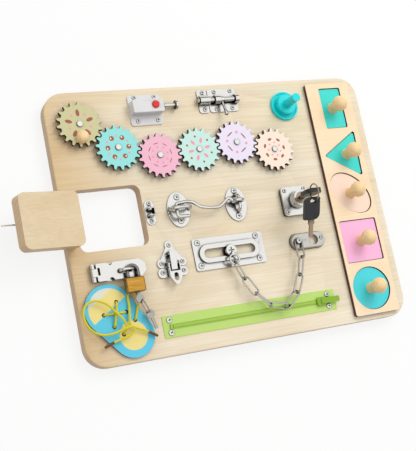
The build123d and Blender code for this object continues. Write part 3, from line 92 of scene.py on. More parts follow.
# %% [markdown]
# ## Camera
# The photograph looks down on the board from its lower left with a long lens. The place, the directions
# and the lens were worked out from the board's straight edges, so they are set as numbers. A camera's
# matrix holds its right, up and backward directions as columns.

# %% Place the camera
CAMERA_PLACE = Vector((-0.48838, -0.19191, 0.97258))
CAMERA_RIGHT = Vector((0.9000, -0.1964, 0.3891))
CAMERA_BACK = Vector((-0.4215, -0.1651, 0.8917))
LENS_MM = 76.79

camera_data = bpy.data.cameras.new("camera")
camera_data.lens = LENS_MM
camera = bpy.data.objects.new("camera", camera_data)
bpy.context.scene.collection.objects.link(camera)
back = CAMERA_BACK.normalized()
up = back.cross(CAMERA_RIGHT).normalized()
right = up.cross(back).normalized()
camera.matrix_world = Matrix.Translation(CAMERA_PLACE) @ Matrix((right, up, back)).transposed().to_4x4()
bpy.context.scene.camera = camera
print("camera at", [round(x, 3) for x in CAMERA_PLACE])

# %% [markdown]
# ## Colours and nodes
# Paint and dye are written as the hex values that a screen shows, and Blender's shaders work in linear
# light, so one function turns one into the other. A second function adds any shader node with its
# settings, and sets or links its inputs: every material below is made with these two.

# %% Colour and node helpers
def paint(code):
    """Linear colour of a hex code such as #E8D8B8."""
    parts = [int(code[i:i + 2], 16) / 255 for i in (1, 3, 5)]
    linear = [c / 12.92 if c <= 0.04045 else ((c + 0.055) / 1.055) ** 2.4 for c in parts]
    return (*linear, 1.0)


def add_node(material, kind, inputs=None, **settings):
    """Adds one shader node, and sets or links its inputs."""
    tree = material.node_tree
    made = tree.nodes.new(kind)
    for name, value in settings.items():
        setattr(made, name, value)
    for name, value in (inputs or {}).items():
        if isinstance(value, bpy.types.NodeSocket):
            tree.links.new(value, made.inputs[name])
        else:
            made.inputs[name].default_value = value
    return made


def start_material(name, **surface):
    """An empty material with a surface shader, whose plain inputs are set by their own names."""
    material = bpy.data.materials.new(name)
    material.use_nodes = True
    tree = material.node_tree
    tree.nodes.clear()
    shader = add_node(material, "ShaderNodeBsdfPrincipled", surface)
    add_node(material, "ShaderNodeOutputMaterial", {"Surface": shader.outputs[0]})
    return material, shader


def blend_colours(material, share, stops):
    """A colour ramp over share; stops are (place, hex code)."""
    ramp = add_node(material, "ShaderNodeValToRGB", {"Fac": share})
    while len(ramp.color_ramp.elements) < len(stops):
        ramp.color_ramp.elements.new(0.5)
    for element, (place, code) in zip(ramp.color_ramp.elements, stops):
        element.position = place
        element.color = paint(code)
    return ramp.outputs["Color"]


print("white turns to", [round(c, 2) for c in paint("#FFFFFF")])

# %% [markdown]
# ## Birch plywood
# The board is sawn from pale birch ply and varnished. Its face shows long, soft grain, and its sawn edge
# shows the stacked layers, browner because the cut goes across the fibres of every second one. Both
# follow from the surface itself: where the surface faces sideways, the layers are drawn by height. The
# veneer is painted tanner towards the board's left edge, as painted shade on that side of the board.

# %% Birch ply, face and edge
GRAIN_LENGTH_MM = 70
GRAIN_WIDTH_MM = 2.2
CLOUDS_PER_METRE = (4.0, 22.0, 22.0)
CLOUD_SHARE = 0.45
GRAIN_TONES = (0.32, 0.66)
LEFT_SHADE_FULL_MM = 200
LEFT_SHADE_START_MM = 110
LEFT_SHADE_TAN = "#E9D3AE"
FACE_LIFT = (0.55, 0.8)
VARNISH_ROUGHNESS = 0.42
PLY_MM = 15
PLY_LAYERS = 11
STRIP_LAYER_MM = 1.2
LAYER_ENDS = ((0.0, 0.46), (0.52, 0.96))


def birch(name, face, edge, layer_mm, left_shade=0.0):
    """Varnished plywood: grain on the face, layers on the edge. face and edge are hex pairs, pale and dark.

    The last argument is the share by which the veneer is painted tanner at the board's left edge, as painted
    shade.
    """
    material, shader = start_material(name, Roughness=VARNISH_ROUGHNESS)
    place = add_node(material, "ShaderNodeTexCoord").outputs["Object"]
    stretch = add_node(material, "ShaderNodeMapping", {"Vector": place, "Scale": (
        1 / (GRAIN_LENGTH_MM * MM), 1 / (GRAIN_WIDTH_MM * MM), 1 / (GRAIN_WIDTH_MM * MM))}).outputs[0]
    fibre = add_node(material, "ShaderNodeTexNoise", {
        "Vector": stretch, "Scale": 1.0, "Detail": 5.0, "Roughness": 0.62, "Distortion": 0.4}).outputs[0]
    wide = add_node(material, "ShaderNodeMapping", {"Vector": place, "Scale": CLOUDS_PER_METRE}).outputs[0]
    cloud = add_node(material, "ShaderNodeTexNoise", {
        "Vector": wide, "Scale": 1.0, "Detail": 2.0, "Distortion": 0.8}).outputs[0]
    mixed = add_node(material, "ShaderNodeMix", {"Factor": CLOUD_SHARE, "A": fibre, "B": cloud}).outputs[0]
    veneer = blend_colours(material, mixed, [(GRAIN_TONES[0], face[1]), (GRAIN_TONES[1], face[0])])
    # painted shade: the veneer is multiplied by a tan colour towards the board's left edge
    along = add_node(material, "ShaderNodeSeparateXYZ", {"Vector": place}).outputs["X"]
    shade_fade = add_node(material, "ShaderNodeMapRange", {
        "Value": along, "From Min": -LEFT_SHADE_FULL_MM * MM, "From Max": -LEFT_SHADE_START_MM * MM,
        "To Min": left_shade, "To Max": 0.0}).outputs[0]
    shaded_veneer = add_node(material, "ShaderNodeMix", {"Factor": shade_fade, 6: veneer, 7: paint(LEFT_SHADE_TAN)},
                      data_type="RGBA", blend_type="MULTIPLY")
    face_colour = shaded_veneer.outputs[2]
    height = add_node(material, "ShaderNodeSeparateXYZ", {"Vector": place}).outputs["Z"]
    layer = add_node(material, "ShaderNodeMath", {
        0: height, 1: 1 / (2 * layer_mm * MM)}, operation="MULTIPLY").outputs[0]
    wrapped = add_node(material, "ShaderNodeMath", {0: layer}, operation="FRACT").outputs[0]
    edge_colour = blend_colours(material, wrapped, [
        (end, code) for ends, code in zip(LAYER_ENDS, edge) for end in ends])
    normal = add_node(material, "ShaderNodeTexCoord").outputs["Normal"]
    lift = add_node(material, "ShaderNodeSeparateXYZ", {"Vector": normal}).outputs["Z"]
    flat = add_node(material, "ShaderNodeMath", {0: lift}, operation="ABSOLUTE").outputs[0]
    is_face = add_node(material, "ShaderNodeMapRange", {
        "Value": flat, "From Min": FACE_LIFT[0], "From Max": FACE_LIFT[1]}).outputs[0]
    colour = add_node(material, "ShaderNodeMix", {
        "Factor": is_face, 6: edge_colour, 7: face_colour}, data_type="RGBA")
    material.node_tree.links.new(colour.outputs[2], shader.inputs["Base Color"])
    bump = add_node(material, "ShaderNodeBump", {
        "Height": fibre, "Strength": 0.05, "Distance": 0.2 * MM}).outputs[0]
    material.node_tree.links.new(bump, shader.inputs["Normal"])
    return material


board_ply = birch("varnished_birch_ply", ("#F3E9D3", "#E2CDA8"), ("#E6CCA2", "#B48A5C"),
                  PLY_MM / PLY_LAYERS, left_shade=0.8)
door_ply = birch("varnished_birch_door", ("#E9D8B8", "#DBC198"), ("#E9CFA6", "#CBA675"), PLY_MM / PLY_LAYERS)
strip_ply = birch("laser_cut_birch_strip", ("#FCE6C6", "#F6D8B0"), ("#5A2C14", "#3E1B0B"), STRIP_LAYER_MM)
print(board_ply.name, door_ply.name, strip_ply.name)

# %% [markdown]
# ## Painted pieces
# The gears and the puzzle pieces are thin ply, printed with satin colour on the face only. A laser cut
# them out, so their edges are scorched brown. Paint hides the grain, but leaves the surface slightly
# uneven, which a faint noise in the roughness shows.

# %% Painted ply
SCORCHED = "#2C1A10"
PAINT_LIFT = (0.55, 0.78)
SATIN_ROUGHNESS = 0.38
SATIN_SPREAD = (-0.05, 0.08)
SPECKS_PER_METRE = 260.0


def painted_ply(name, code):
    """Satin paint on the face of thin ply, with a scorched edge."""
    material, shader = start_material(name)
    place = add_node(material, "ShaderNodeTexCoord").outputs["Object"]
    speck = add_node(material, "ShaderNodeTexNoise", {
        "Vector": place, "Scale": SPECKS_PER_METRE, "Detail": 3.0}).outputs[0]
    rough = add_node(material, "ShaderNodeMapRange", {
        "Value": speck, "To Min": SATIN_ROUGHNESS + SATIN_SPREAD[0],
        "To Max": SATIN_ROUGHNESS + SATIN_SPREAD[1]}).outputs[0]
    normal = add_node(material, "ShaderNodeTexCoord").outputs["Normal"]
    lift = add_node(material, "ShaderNodeSeparateXYZ", {"Vector": normal}).outputs["Z"]
    colour = blend_colours(material, lift, [(PAINT_LIFT[0], SCORCHED), (PAINT_LIFT[1], code)])
    material.node_tree.links.new(colour, shader.inputs["Base Color"])
    material.node_tree.links.new(rough, shader.inputs["Roughness"])
    return material


PAINTS = {
    "gear_olive": "#D0CC9C", "gear_turquoise": "#98E4E0", "gear_pink": "#F3BACF", "gear_mint": "#C8EBE2",
    "gear_lavender": "#EAE2F4", "gear_peach": "#FAE6D5",
    "insert_turquoise": "#3FDCD2", "insert_sky": "#45D8E0",
    "insert_pink": "#FDBBE0", "insert_peach": "#FCDFCB",
}
finishes = {name: painted_ply(f"paint_{name}", code) for name, code in PAINTS.items()}
print(len(finishes), "paints")

# %% [markdown]
# ## Painted shoe
# The shoe is a flat ply cut-out, printed with satin paint: sky blue all over, a round yellow toe, and a
# heel in two plain bands. Each patch is drawn as a distance from a point or along a direction, turned
# into a mask with a thin soft edge, as ink has on wood.

# %% Shoe paint
HEEL = (-168, -91)
HEEL_RADIUS_MM = 22.7
HEEL_DIRECTION = (-0.545, 0.839)
HEEL_BAND_MM = (14.0, 29.8)
TOE = (-146.5, -121.5)
TOE_RADIUS_MM = 15.5
SHOE_BLUE = "#5CCBE8"
SHOE_YELLOW = "#F2E08C"
SHOE_CREAM = "#E3E3D6"
SHOE_EDGE = "#6B4426"
SHOE_LIFT = (0.5, 0.8)
PRINT_EDGE_MM = 0.3


def shoe_paint():
    """Sky-blue ply with a yellow toe and a heel of two bands, by the place on the face."""
    material, shader = start_material("painted_shoe", Roughness=0.36)
    place = add_node(material, "ShaderNodeTexCoord").outputs["Object"]

    def disc(centre, radius):
        """A mask that is 1 inside a circle."""
        moved = add_node(material, "ShaderNodeVectorMath", {
            0: place, 1: (centre[0] * MM, centre[1] * MM, 0.0)}, operation="SUBTRACT").outputs[0]
        flat = add_node(material, "ShaderNodeVectorMath", {
            0: moved, 1: (1.0, 1.0, 0.0)}, operation="MULTIPLY").outputs[0]
        far = add_node(material, "ShaderNodeVectorMath", {0: flat}, operation="LENGTH").outputs["Value"]
        return add_node(material, "ShaderNodeMapRange", {
            "Value": far, "From Min": (radius - PRINT_EDGE_MM) * MM,
            "From Max": (radius + PRINT_EDGE_MM) * MM, "To Min": 1.0, "To Max": 0.0}).outputs[0]

    def beyond(reach):
        """A mask that is 1 where the face lies further than reach mm towards the heel's corner."""
        along = add_node(material, "ShaderNodeVectorMath", {
            0: place, 1: (*HEEL_DIRECTION, 0.0)}, operation="DOT_PRODUCT").outputs["Value"]
        return add_node(material, "ShaderNodeMapRange", {
            "Value": along, "From Min": (reach - PRINT_EDGE_MM) * MM,
            "From Max": (reach + PRINT_EDGE_MM) * MM}).outputs[0]

    def both(one, other):
        """Where both masks are 1."""
        return add_node(material, "ShaderNodeMath", {0: one, 1: other}, operation="MULTIPLY").outputs[0]

    def lay(colour, code, mask):
        """Lays a plain colour over another one through a mask."""
        mixed = add_node(material, "ShaderNodeMix", {
            "Factor": mask, 6: colour, 7: paint(code)}, data_type="RGBA")
        return mixed.outputs[2]

    colour = add_node(material, "ShaderNodeRGB")
    colour.outputs[0].default_value = paint(SHOE_BLUE)
    heel = disc(HEEL, HEEL_RADIUS_MM)
    colour = lay(colour.outputs[0], SHOE_YELLOW, both(heel, beyond(HEEL_BAND_MM[0])))
    colour = lay(colour, SHOE_CREAM, both(heel, beyond(HEEL_BAND_MM[1])))
    colour = lay(colour, SHOE_YELLOW, disc(TOE, TOE_RADIUS_MM))
    normal = add_node(material, "ShaderNodeTexCoord").outputs["Normal"]
    lift = add_node(material, "ShaderNodeSeparateXYZ", {"Vector": normal}).outputs["Z"]
    face = add_node(material, "ShaderNodeMapRange", {
        "Value": lift, "From Min": SHOE_LIFT[0], "From Max": SHOE_LIFT[1]}).outputs[0]
    whole = add_node(material, "ShaderNodeMix", {
        "Factor": face, 6: paint(SHOE_EDGE), 7: colour}, data_type="RGBA")
    material.node_tree.links.new(whole.outputs[2], shader.inputs["Base Color"])
    return material


finishes["shoe_paint"] = shoe_paint()
print("shoe:", finishes["shoe_paint"].name)

# %% [markdown]
# ## Turned beech
# The knobs are turned on a lathe from beech and waxed. Beech has short dark flecks that run up the knob,
# so a noise that is stretched along the height gives the grain.

# %% Turned beech
FLECK_LENGTH_MM = 9
FLECK_WIDTH_MM = 0.9
BEECH_TONES = [(0.3, "#EBBD7E"), (0.52, "#FADAA4"), (0.75, "#FFEAC2")]


def turned_beech():
    """Waxed beech with its grain upright."""
    material, shader = start_material("waxed_turned_beech", Roughness=0.36)
    place = add_node(material, "ShaderNodeTexCoord").outputs["Object"]
    stretch = add_node(material, "ShaderNodeMapping", {"Vector": place, "Scale": (
        1 / (FLECK_WIDTH_MM * MM), 1 / (FLECK_WIDTH_MM * MM), 1 / (FLECK_LENGTH_MM * MM))}).outputs[0]
    fleck = add_node(material, "ShaderNodeTexNoise", {
        "Vector": stretch, "Scale": 1.0, "Detail": 4.0}).outputs[0]
    material.node_tree.links.new(blend_colours(material, fleck, BEECH_TONES), shader.inputs["Base Color"])
    return material


finishes["turned_wood"] = turned_beech()
print("knobs:", finishes["turned_wood"].name)

# %% [markdown]
# ## Metals
# The latches are pressed or bent steel, plated with nickel: bright, and slightly soft in its reflections
# because the steel under it isn't polished. The padlock's body is brass with a brushed face, and its
# shackle plain hardened steel. A metal's colour is what it reflects, so the pale room does most. The
# corners and steep sides are painted darker, as painted shade: ambient occlusion finds the corners, and
# the upward part of the surface's direction finds the sides.

# %% Nickel, steel and brass
# Painted shade on metal: darker in its corners, by ambient occlusion, and on its steep sides, by the
# surface's upward part.
CORNER_REACH_MM = 5.0
CORNER_RAYS = 16
SHADE_RAMP_SHARES = (0.5, 0.86)
SHADED_SIDE_LIFT = (0.2, 0.9)
SIDE_SHADE_DEPTH = 0.3
METAL_SHADE = "#45423D"
BRASS_SHADE = "#5A3A12"
BRUSHED_SHADE = "#DCC29A"
BRUSH_LINE_MM = 0.4
BRUSH_LINES_PER_METRE = 60.0
UNEVEN_PER_METRE = 140.0
PLATE_SPREAD = (-0.05, 0.07)


def plated(name, code, roughness, brush_mm=0.0, strength=0.06, shade_code=METAL_SHADE):
    """A metal with a faint unevenness, or with brush lines of that width along x, and with painted shade in
    its corners and on its steep sides.
    """
    material, shader = start_material(name, Metallic=1.0)
    # painted shade: the colour runs from a dark shade colour to the metal's own as a spot grows open and
    # faces up
    openness = add_node(material, "ShaderNodeAmbientOcclusion", {
        "Distance": CORNER_REACH_MM * MM}, samples=CORNER_RAYS)
    spot = add_node(material, "ShaderNodeTexCoord")
    lift = add_node(material, "ShaderNodeSeparateXYZ", {"Vector": spot.outputs["Normal"]}).outputs["Z"]
    side_shade = add_node(material, "ShaderNodeMapRange", {
        "Value": lift, "From Min": SHADED_SIDE_LIFT[0], "From Max": SHADED_SIDE_LIFT[1],
        "To Min": -SIDE_SHADE_DEPTH, "To Max": 0.0}).outputs[0]
    lit_share = add_node(material, "ShaderNodeMath", {
        0: openness.outputs["AO"], 1: side_shade}, operation="ADD").outputs[0]
    colour = blend_colours(material, lit_share, [(SHADE_RAMP_SHARES[0], shade_code), (SHADE_RAMP_SHARES[1], code)])
    place = spot.outputs["Object"]
    size = (UNEVEN_PER_METRE,) * 3
    if brush_mm:
        size = (BRUSH_LINES_PER_METRE, 1 / (brush_mm * MM), 1 / (brush_mm * MM))
    stretch = add_node(material, "ShaderNodeMapping", {"Vector": place, "Scale": size}).outputs[0]
    uneven = add_node(material, "ShaderNodeTexNoise", {
        "Vector": stretch, "Scale": 1.0, "Detail": 3.0}).outputs[0]
    if brush_mm:
        lines = blend_colours(material, uneven, [(0.38, BRUSHED_SHADE), (0.62, "#FFFFFF")])
        colour = add_node(material, "ShaderNodeMix", {"Factor": 1.0, 6: colour, 7: lines},
                          data_type="RGBA", blend_type="MULTIPLY").outputs[2]
    material.node_tree.links.new(colour, shader.inputs["Base Color"])
    rough = add_node(material, "ShaderNodeMapRange", {
        "Value": uneven, "To Min": roughness + PLATE_SPREAD[0],
        "To Max": roughness + PLATE_SPREAD[1]}).outputs[0]
    bump = add_node(material, "ShaderNodeBump", {
        "Height": uneven, "Strength": strength, "Distance": 0.4 * MM}).outputs[0]
    material.node_tree.links.new(rough, shader.inputs["Roughness"])
    material.node_tree.links.new(bump, shader.inputs["Normal"])
    return material


finishes["nickel"] = plated("nickel_plated_steel", "#EDECE8", 0.22)
finishes["dark_steel"] = plated("hardened_steel", "#94928F", 0.26)
finishes["brass"] = plated("brushed_brass", "#DDB058", 0.24, BRUSH_LINE_MM, 0.4, BRASS_SHADE)
chain_steel = plated("chain_wire_steel", "#D2CFC9", 0.28)
key_steel = plated("key_steel", "#B4B0AA", 0.26)
screw_steel = plated("screw_steel", "#F4F3F0", 0.3)
key_blade_steel = plated("key_blade_steel", "#BDA58E", 0.3)
print("metals:", finishes["nickel"].name, finishes["brass"].name)

# %% [markdown]
# ## Plastics
# The fat bolt and nut and the latch's button are glossy moulded plastic; the latch's case and the key
# heads are moulded with a fine matt texture. Plastic has one colour all through, an IOR near 1.5, and
# differs from its neighbours by how sharp its highlight is.

# %% Moulded plastics
PLASTIC_IOR = 1.49
MOULD_GRAINS_PER_METRE = 1400.0


def moulded(name, code, roughness, grain=0.0):
    """One-colour plastic, with a fine moulded texture where grain is above zero."""
    material, shader = start_material(name, Roughness=roughness, IOR=PLASTIC_IOR)
    shader.inputs["Base Color"].default_value = paint(code)
    if grain:
        place = add_node(material, "ShaderNodeTexCoord").outputs["Object"]
        fine = add_node(material, "ShaderNodeTexNoise", {
            "Vector": place, "Scale": MOULD_GRAINS_PER_METRE, "Detail": 2.0}).outputs[0]
        bump = add_node(material, "ShaderNodeBump", {
            "Height": fine, "Strength": grain, "Distance": 0.2 * MM}).outputs[0]
        material.node_tree.links.new(bump, shader.inputs["Normal"])
    return material


finishes["teal_plastic"] = moulded("glossy_teal_abs", "#0CDDE0", 0.26)
finishes["grey_plastic"] = moulded("light_grey_abs", "#DCDCDD", 0.34, 0.1)
finishes["red_plastic"] = moulded("red_button_abs", "#D8281C", 0.2)
finishes["black_plastic"] = moulded("black_key_head", "#2A2B2E", 0.42, 0.25)
finishes["aglet_plastic"] = moulded("brown_lace_tip", "#6B4524", 0.3)
finishes["lime_teeth"] = moulded("lime_zip_teeth", "#A3C84A", 0.35)
finishes["lime_metal"] = moulded("lime_slider_enamel", "#86B025", 0.22)
print("plastics made")

# %% [markdown]
# ## Woven tape and braided cord
# The zip's tape is woven in a close twill, and the lace is braided from cotton. Both are drawn with fine
# crossing lines that lift the surface a little. The threads are 0.6 mm apart on the tape, which is
# coarser than the real weave so that it shows at all. A wave texture repeats every twentieth of a full
# turn at scale one, so its scale is that step over the threads' distance.

# %% Cloth
TAPE_THREAD_MM = 0.6
BRAID_THREAD_MM = 0.7
WAVE_STEP = math.tau / 20


def woven(name, pale, dark, thread_mm, strength):
    """Cloth of crossing threads, thread_mm apart, on the object's own place."""
    material, shader = start_material(name, Roughness=0.85)
    shader.inputs["Sheen Weight"].default_value = 0.25
    place = add_node(material, "ShaderNodeTexCoord").outputs["Object"]
    waves = []
    for turned in (45, -45):
        lines = add_node(material, "ShaderNodeMapping", {
            "Vector": place, "Rotation": (0.0, 0.0, math.radians(turned))}).outputs[0]
        wave = add_node(material, "ShaderNodeTexWave", {
            "Vector": lines, "Scale": WAVE_STEP / (thread_mm * MM), "Distortion": 0.4, "Detail": 1.0})
        waves.append(wave.outputs["Fac"])
    weave = add_node(material, "ShaderNodeMath", {0: waves[0], 1: waves[1]}, operation="MULTIPLY").outputs[0]
    colour = blend_colours(material, weave, [(0.0, dark), (0.5, pale)])
    bump = add_node(material, "ShaderNodeBump", {
        "Height": weave, "Strength": strength, "Distance": 0.15 * MM}).outputs[0]
    material.node_tree.links.new(colour, shader.inputs["Base Color"])
    material.node_tree.links.new(bump, shader.inputs["Normal"])
    return material


finishes["lime_tape"] = woven("lime_twill_tape", "#CDE88A", "#BADB70", TAPE_THREAD_MM, 0.4)
finishes["lace_cotton"] = woven("yellow_braided_cotton", "#EFE52E", "#D6C81C", BRAID_THREAD_MM, 0.5)
finishes["birch_ply"] = board_ply
finishes["puzzle_ply"] = strip_ply
print(len(finishes), "finishes in all")

# %% [markdown]
# ## Soft edges
# No real edge is sharp: sawn ply is sanded, pressed steel has a rolled corner, and moulded plastic a
# radius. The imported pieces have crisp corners, so each one is copied, its corners are bevelled by a real
# amount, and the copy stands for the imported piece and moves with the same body.

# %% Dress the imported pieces
EDGE_MM = {
    "birch_ply": 0.6, "puzzle_ply": 0.25, "turned_wood": 0.5, "nickel": 0.4, "dark_steel": 0.3, "brass": 1.4,
    "teal_plastic": 0.4, "grey_plastic": 0.5, "red_plastic": 0.4, "black_plastic": 0.5, "lime_tape": 0.0,
    "lime_teeth": 0.1, "lime_metal": 0.35, "aglet_plastic": 0.2,
}
SMOOTH_DEG = 32
FLAT_DEG = 0.5
WELD_M = 1e-6
BEVEL_STEPS = 3
OTHER_EDGE_MM = 0.25


def dress(node, finish=None):
    """A soft-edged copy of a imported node, riding on its body and standing for it."""
    slot = slot_of[node]
    mesh = nodes[node].data.copy()
    mesh.materials.clear()
    mesh.materials.append(finish or finishes[slot])
    form = bmesh.new()
    form.from_mesh(mesh)
    bmesh.ops.remove_doubles(form, verts=form.verts, dist=WELD_M)
    bmesh.ops.dissolve_limit(form, angle_limit=math.radians(FLAT_DEG), verts=form.verts, edges=form.edges)
    many_sided = [face for face in form.faces if len(face.verts) > 4]
    bmesh.ops.triangulate(form, faces=many_sided)
    for face in form.faces:
        face.material_index = 0
        face.smooth = True
    form.to_mesh(mesh)
    form.free()
    piece = bpy.data.objects.new(f"{node}_dressed", mesh)
    bpy.context.scene.collection.objects.link(piece)
    width = EDGE_MM.get(slot, OTHER_EDGE_MM) * MM
    if width:
        bevel = piece.modifiers.new("soft_edges", "BEVEL")
        bevel.width = width
        bevel.segments = BEVEL_STEPS
        bevel.limit_method = "ANGLE"
        bevel.angle_limit = math.radians(SMOOTH_DEG)
        bevel.harden_normals = True
    mesh.set_sharp_from_angle(angle=math.radians(SMOOTH_DEG))
    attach(piece, body_of[node])
    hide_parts(node)
    return piece


LEFT_AS_DRAWN = {"shoe_lace", "door_panel", "plate_screws", "gear_axles"}
dressed = {name: dress(name) for name in sorted(nodes) if name not in LEFT_AS_DRAWN}
for name in dressed:
    if name.startswith("chain_link") or name == "chain_anchor":
        dressed[name].data.materials[0] = chain_steel
dressed["padlock_keys"].data.materials[0] = key_steel
dressed["door_screws"].data.materials[0] = screw_steel
dressed["door_panel"] = dress("door_panel", finish=door_ply)
print(len(dressed), "pieces dressed")

# %% [markdown]
# ## Two finishes on one piece
# Some pieces are packed as one node but are made of two materials: a painted puzzle slab carries a beech
# knob, and a key has a moulded head on a steel blade. The faces that pass a test of their place get the
# second material.

# %% Knobs, key blades and rings
def second_finish(piece, finish, is_other):
    """Gives a second material to the faces whose middle passes the test."""
    piece.data.materials.append(finish)
    count = 0
    for face in piece.data.polygons:
        if is_other(face.center):
            face.material_index = 1
            count += 1
    return count


HAIR_MM = 0.01
INSERT_TOP = FRONT + (3.6 + HAIR_MM) * MM
KEY_HEAD_FLOOR = FRONT + 29.8 * MM
SPARE_RING = Vector((74.5 * MM, -1.8 * MM, FRONT + 56 * MM))
SPARE_RING_MM = (8.2, 9.8)
SPARE_RING_WIRE_MM = 1.5
SPARE_HEAD_REACH_MM = 31
for name in ("rectangle", "triangle", "ellipse", "square", "circle"):
    second_finish(dressed[f"puzzle_{name}"], finishes["turned_wood"], lambda middle: middle.z > INSERT_TOP)
blade = second_finish(dressed["lock_key"], key_blade_steel, lambda middle: middle.z < KEY_HEAD_FLOOR)


def is_spare_steel(middle):
    """True on the spare key's blade and on its ring."""
    off = (middle - SPARE_RING) / MM
    reach = math.hypot(off.y, off.z)
    on_ring = abs(off.x) < SPARE_RING_WIRE_MM / 2 and SPARE_RING_MM[0] < reach < SPARE_RING_MM[1]
    return reach > SPARE_HEAD_REACH_MM or on_ring


spare = second_finish(dressed["spare_key"], key_blade_steel, is_spare_steel)
print("steel faces:", blade, "on the key,", spare, "on the spare")

# %% [markdown]
# ## Printed gears
# Each gear's face carries a small print in brown and rose, as children's gears do. The print here is a
# plain one of petals and dots. Ink has no thickness to speak of, so each mark is a flat patch that lies a
# hair above the paint, and it turns with its gear.

# %% Print petals and dots
INK_LIFT_MM = 0.03
MARK_SIDES = 24
INKS = {"brown": moulded("brown_ink", "#A4614A", 0.45), "rose": moulded("rose_ink", "#F59BB2", 0.45),
        "white": moulded("white_ink", "#FBF7F2", 0.45)}


def print_marks(name, gear, ink, marks, lift=1):
    """Flat oval marks on a gear: each is (reach, angle, length, width, turn) in mm and degrees."""
    low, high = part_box(gear)
    middle = (low + high) / 2
    corners, faces = [], []
    for reach, angle, length, width, turn in marks:
        out = Matrix.Rotation(math.radians(angle), 2) @ Vector((reach, 0))
        spin = Matrix.Rotation(math.radians(angle + turn), 2)
        first = len(corners)
        for side in range(MARK_SIDES):
            around = math.tau * side / MARK_SIDES
            spot = out + spin @ Vector((length / 2 * math.cos(around), width / 2 * math.sin(around)))
            corners.append((middle.x + spot.x * MM, middle.y + spot.y * MM, high.z + lift * INK_LIFT_MM * MM))
        faces.append(range(first, first + MARK_SIDES))
    mesh = bpy.data.meshes.new(name)
    mesh.from_pydata(corners, [], [list(face) for face in faces])
    mesh.materials.append(INKS[ink])
    print_piece = bpy.data.objects.new(name, mesh)
    bpy.context.scene.collection.objects.link(print_piece)
    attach(print_piece, body_of[gear])


def wheel(count, reach, length, width, start=0, turn=0):
    """The same mark repeated round the gear's middle."""
    return [(reach, start + 360 * step / count, length, width, turn) for step in range(count)]


print_marks("gear_1_petals", "gear_1", "brown", wheel(5, 12.5, 8.0, 4.2, 20))
print_marks("gear_1_dots", "gear_1", "rose", wheel(5, 12.5, 2.6, 2.6, 56))
print_marks("gear_2_dots", "gear_2", "brown", wheel(6, 12.0, 5.6, 5.6, 0))
print_marks("gear_2_lights", "gear_2", "white", wheel(6, 12.6, 1.8, 1.8, 4), 2)
print_marks("gear_2_buds", "gear_2", "rose", wheel(6, 13.4, 2.6, 2.0, 30))
print_marks("gear_3_dashes", "gear_3", "brown", wheel(8, 13.5, 6.4, 1.0, 12, 90))
print_marks("gear_3_dots", "gear_3", "rose", wheel(8, 9.2, 2.4, 2.4, 12))
print_marks("gear_4_petals", "gear_4", "rose", wheel(6, 10.5, 6.6, 3.2, 10))
print_marks("gear_4_dots", "gear_4", "brown", wheel(6, 15.2, 2.6, 2.6, 40))
print_marks("gear_5_bars", "gear_5", "brown", wheel(4, 12.0, 9.0, 1.6, 35, 90))
print_marks("gear_5_dots", "gear_5", "rose", wheel(4, 12.0, 3.2, 3.2, 80))
print_marks("gear_6_petals", "gear_6", "brown", wheel(7, 12.5, 5.2, 3.0, 5, 90))
print_marks("gear_6_dots", "gear_6", "rose", wheel(7, 8.0, 2.2, 2.2, 30))
print("gears printed")

# %% [markdown]
# ## Round heads
# Screws are forged with a domed head and a cross pressed into it, and the gears turn on pins with a
# riveted cap. They are only a few millimetres wide, so each is turned afresh from its profile: rings of
# points, one above the other. The cross is cut as a real pit, because its dark corners are what the eye
# sees of a screw, and its walls and floor are given a dark steel as painted shade. Each is turned by
# chance, as a screw ends up where it bites.

# %% Turn the screws and the axles
HEAD_SIDES = 32
HEAD_HEIGHT_MM = 1.2
SHANK_MM = 1.2
DOME_SHARES = ((1.0, 0.0), (1.0, 0.42), (0.96, 0.66), (0.86, 0.85), (0.72, 0.95), (0.64, 1.0))
CROSS_SHARE = 0.56
CROSS_HALF_MM = 0.42
CROSS_DEPTH_MM = 0.7
AXLE_PIN_MM = ((2.5, -9.0), (2.5, 0.0))
AXLE_COLLAR_MM = ((6.0, 0.0), (6.0, 2.7), (5.7, 3.0), (2.5, 3.0))
AXLE_CAP_MM = ((2.5, 8.3), (3.6, 8.3), (3.6, 9.2), (3.52, 9.5), (3.3, 9.8), (3.0, 10.02), (2.7, 10.1))
AXLE_PROFILE_MM = AXLE_PIN_MM + AXLE_COLLAR_MM + AXLE_CAP_MM
# painted shade: a dark steel for the walls and floor of the cross pits
recess_shade = plated("screw_recess_shade", "#4A4742", 0.5)


def upright_pieces(node):
    """The low and high corner of each separate solid in a node, in order of their places."""
    form = bmesh.new()
    form.from_mesh(nodes[node].data)
    bmesh.ops.remove_doubles(form, verts=form.verts, dist=WELD_M)
    left = set(form.verts)
    found = []
    while left:
        island, edge = set(), {left.pop()}
        while edge:
            island |= edge
            edge = {other for vert in edge for link in vert.link_edges for other in link.verts} - island
        left -= island
        spots = [vert.co for vert in island]
        found.append([Vector(pick(spot[axis] for spot in spots) for axis in range(3)) for pick in (min, max)])
    form.free()
    return sorted(found, key=lambda box: (round(box[0].x / MM), round(box[0].y / MM)))


def turn_profile(form, x, y, profile):
    """Rings of points about an upright axis, joined from low to high; gives the top ring."""
    rings = []
    for radius, height in profile:
        rings.append([form.verts.new((x + radius * math.cos(math.tau * side / HEAD_SIDES),
                                      y + radius * math.sin(math.tau * side / HEAD_SIDES), height))
                      for side in range(HEAD_SIDES)])
    for low, high in zip(rings, rings[1:]):
        for side in range(HEAD_SIDES):
            after = (side + 1) % HEAD_SIDES
            form.faces.new((low[side], low[after], high[after], high[side]))
    form.faces.new(reversed(rings[0]))
    return rings[-1]


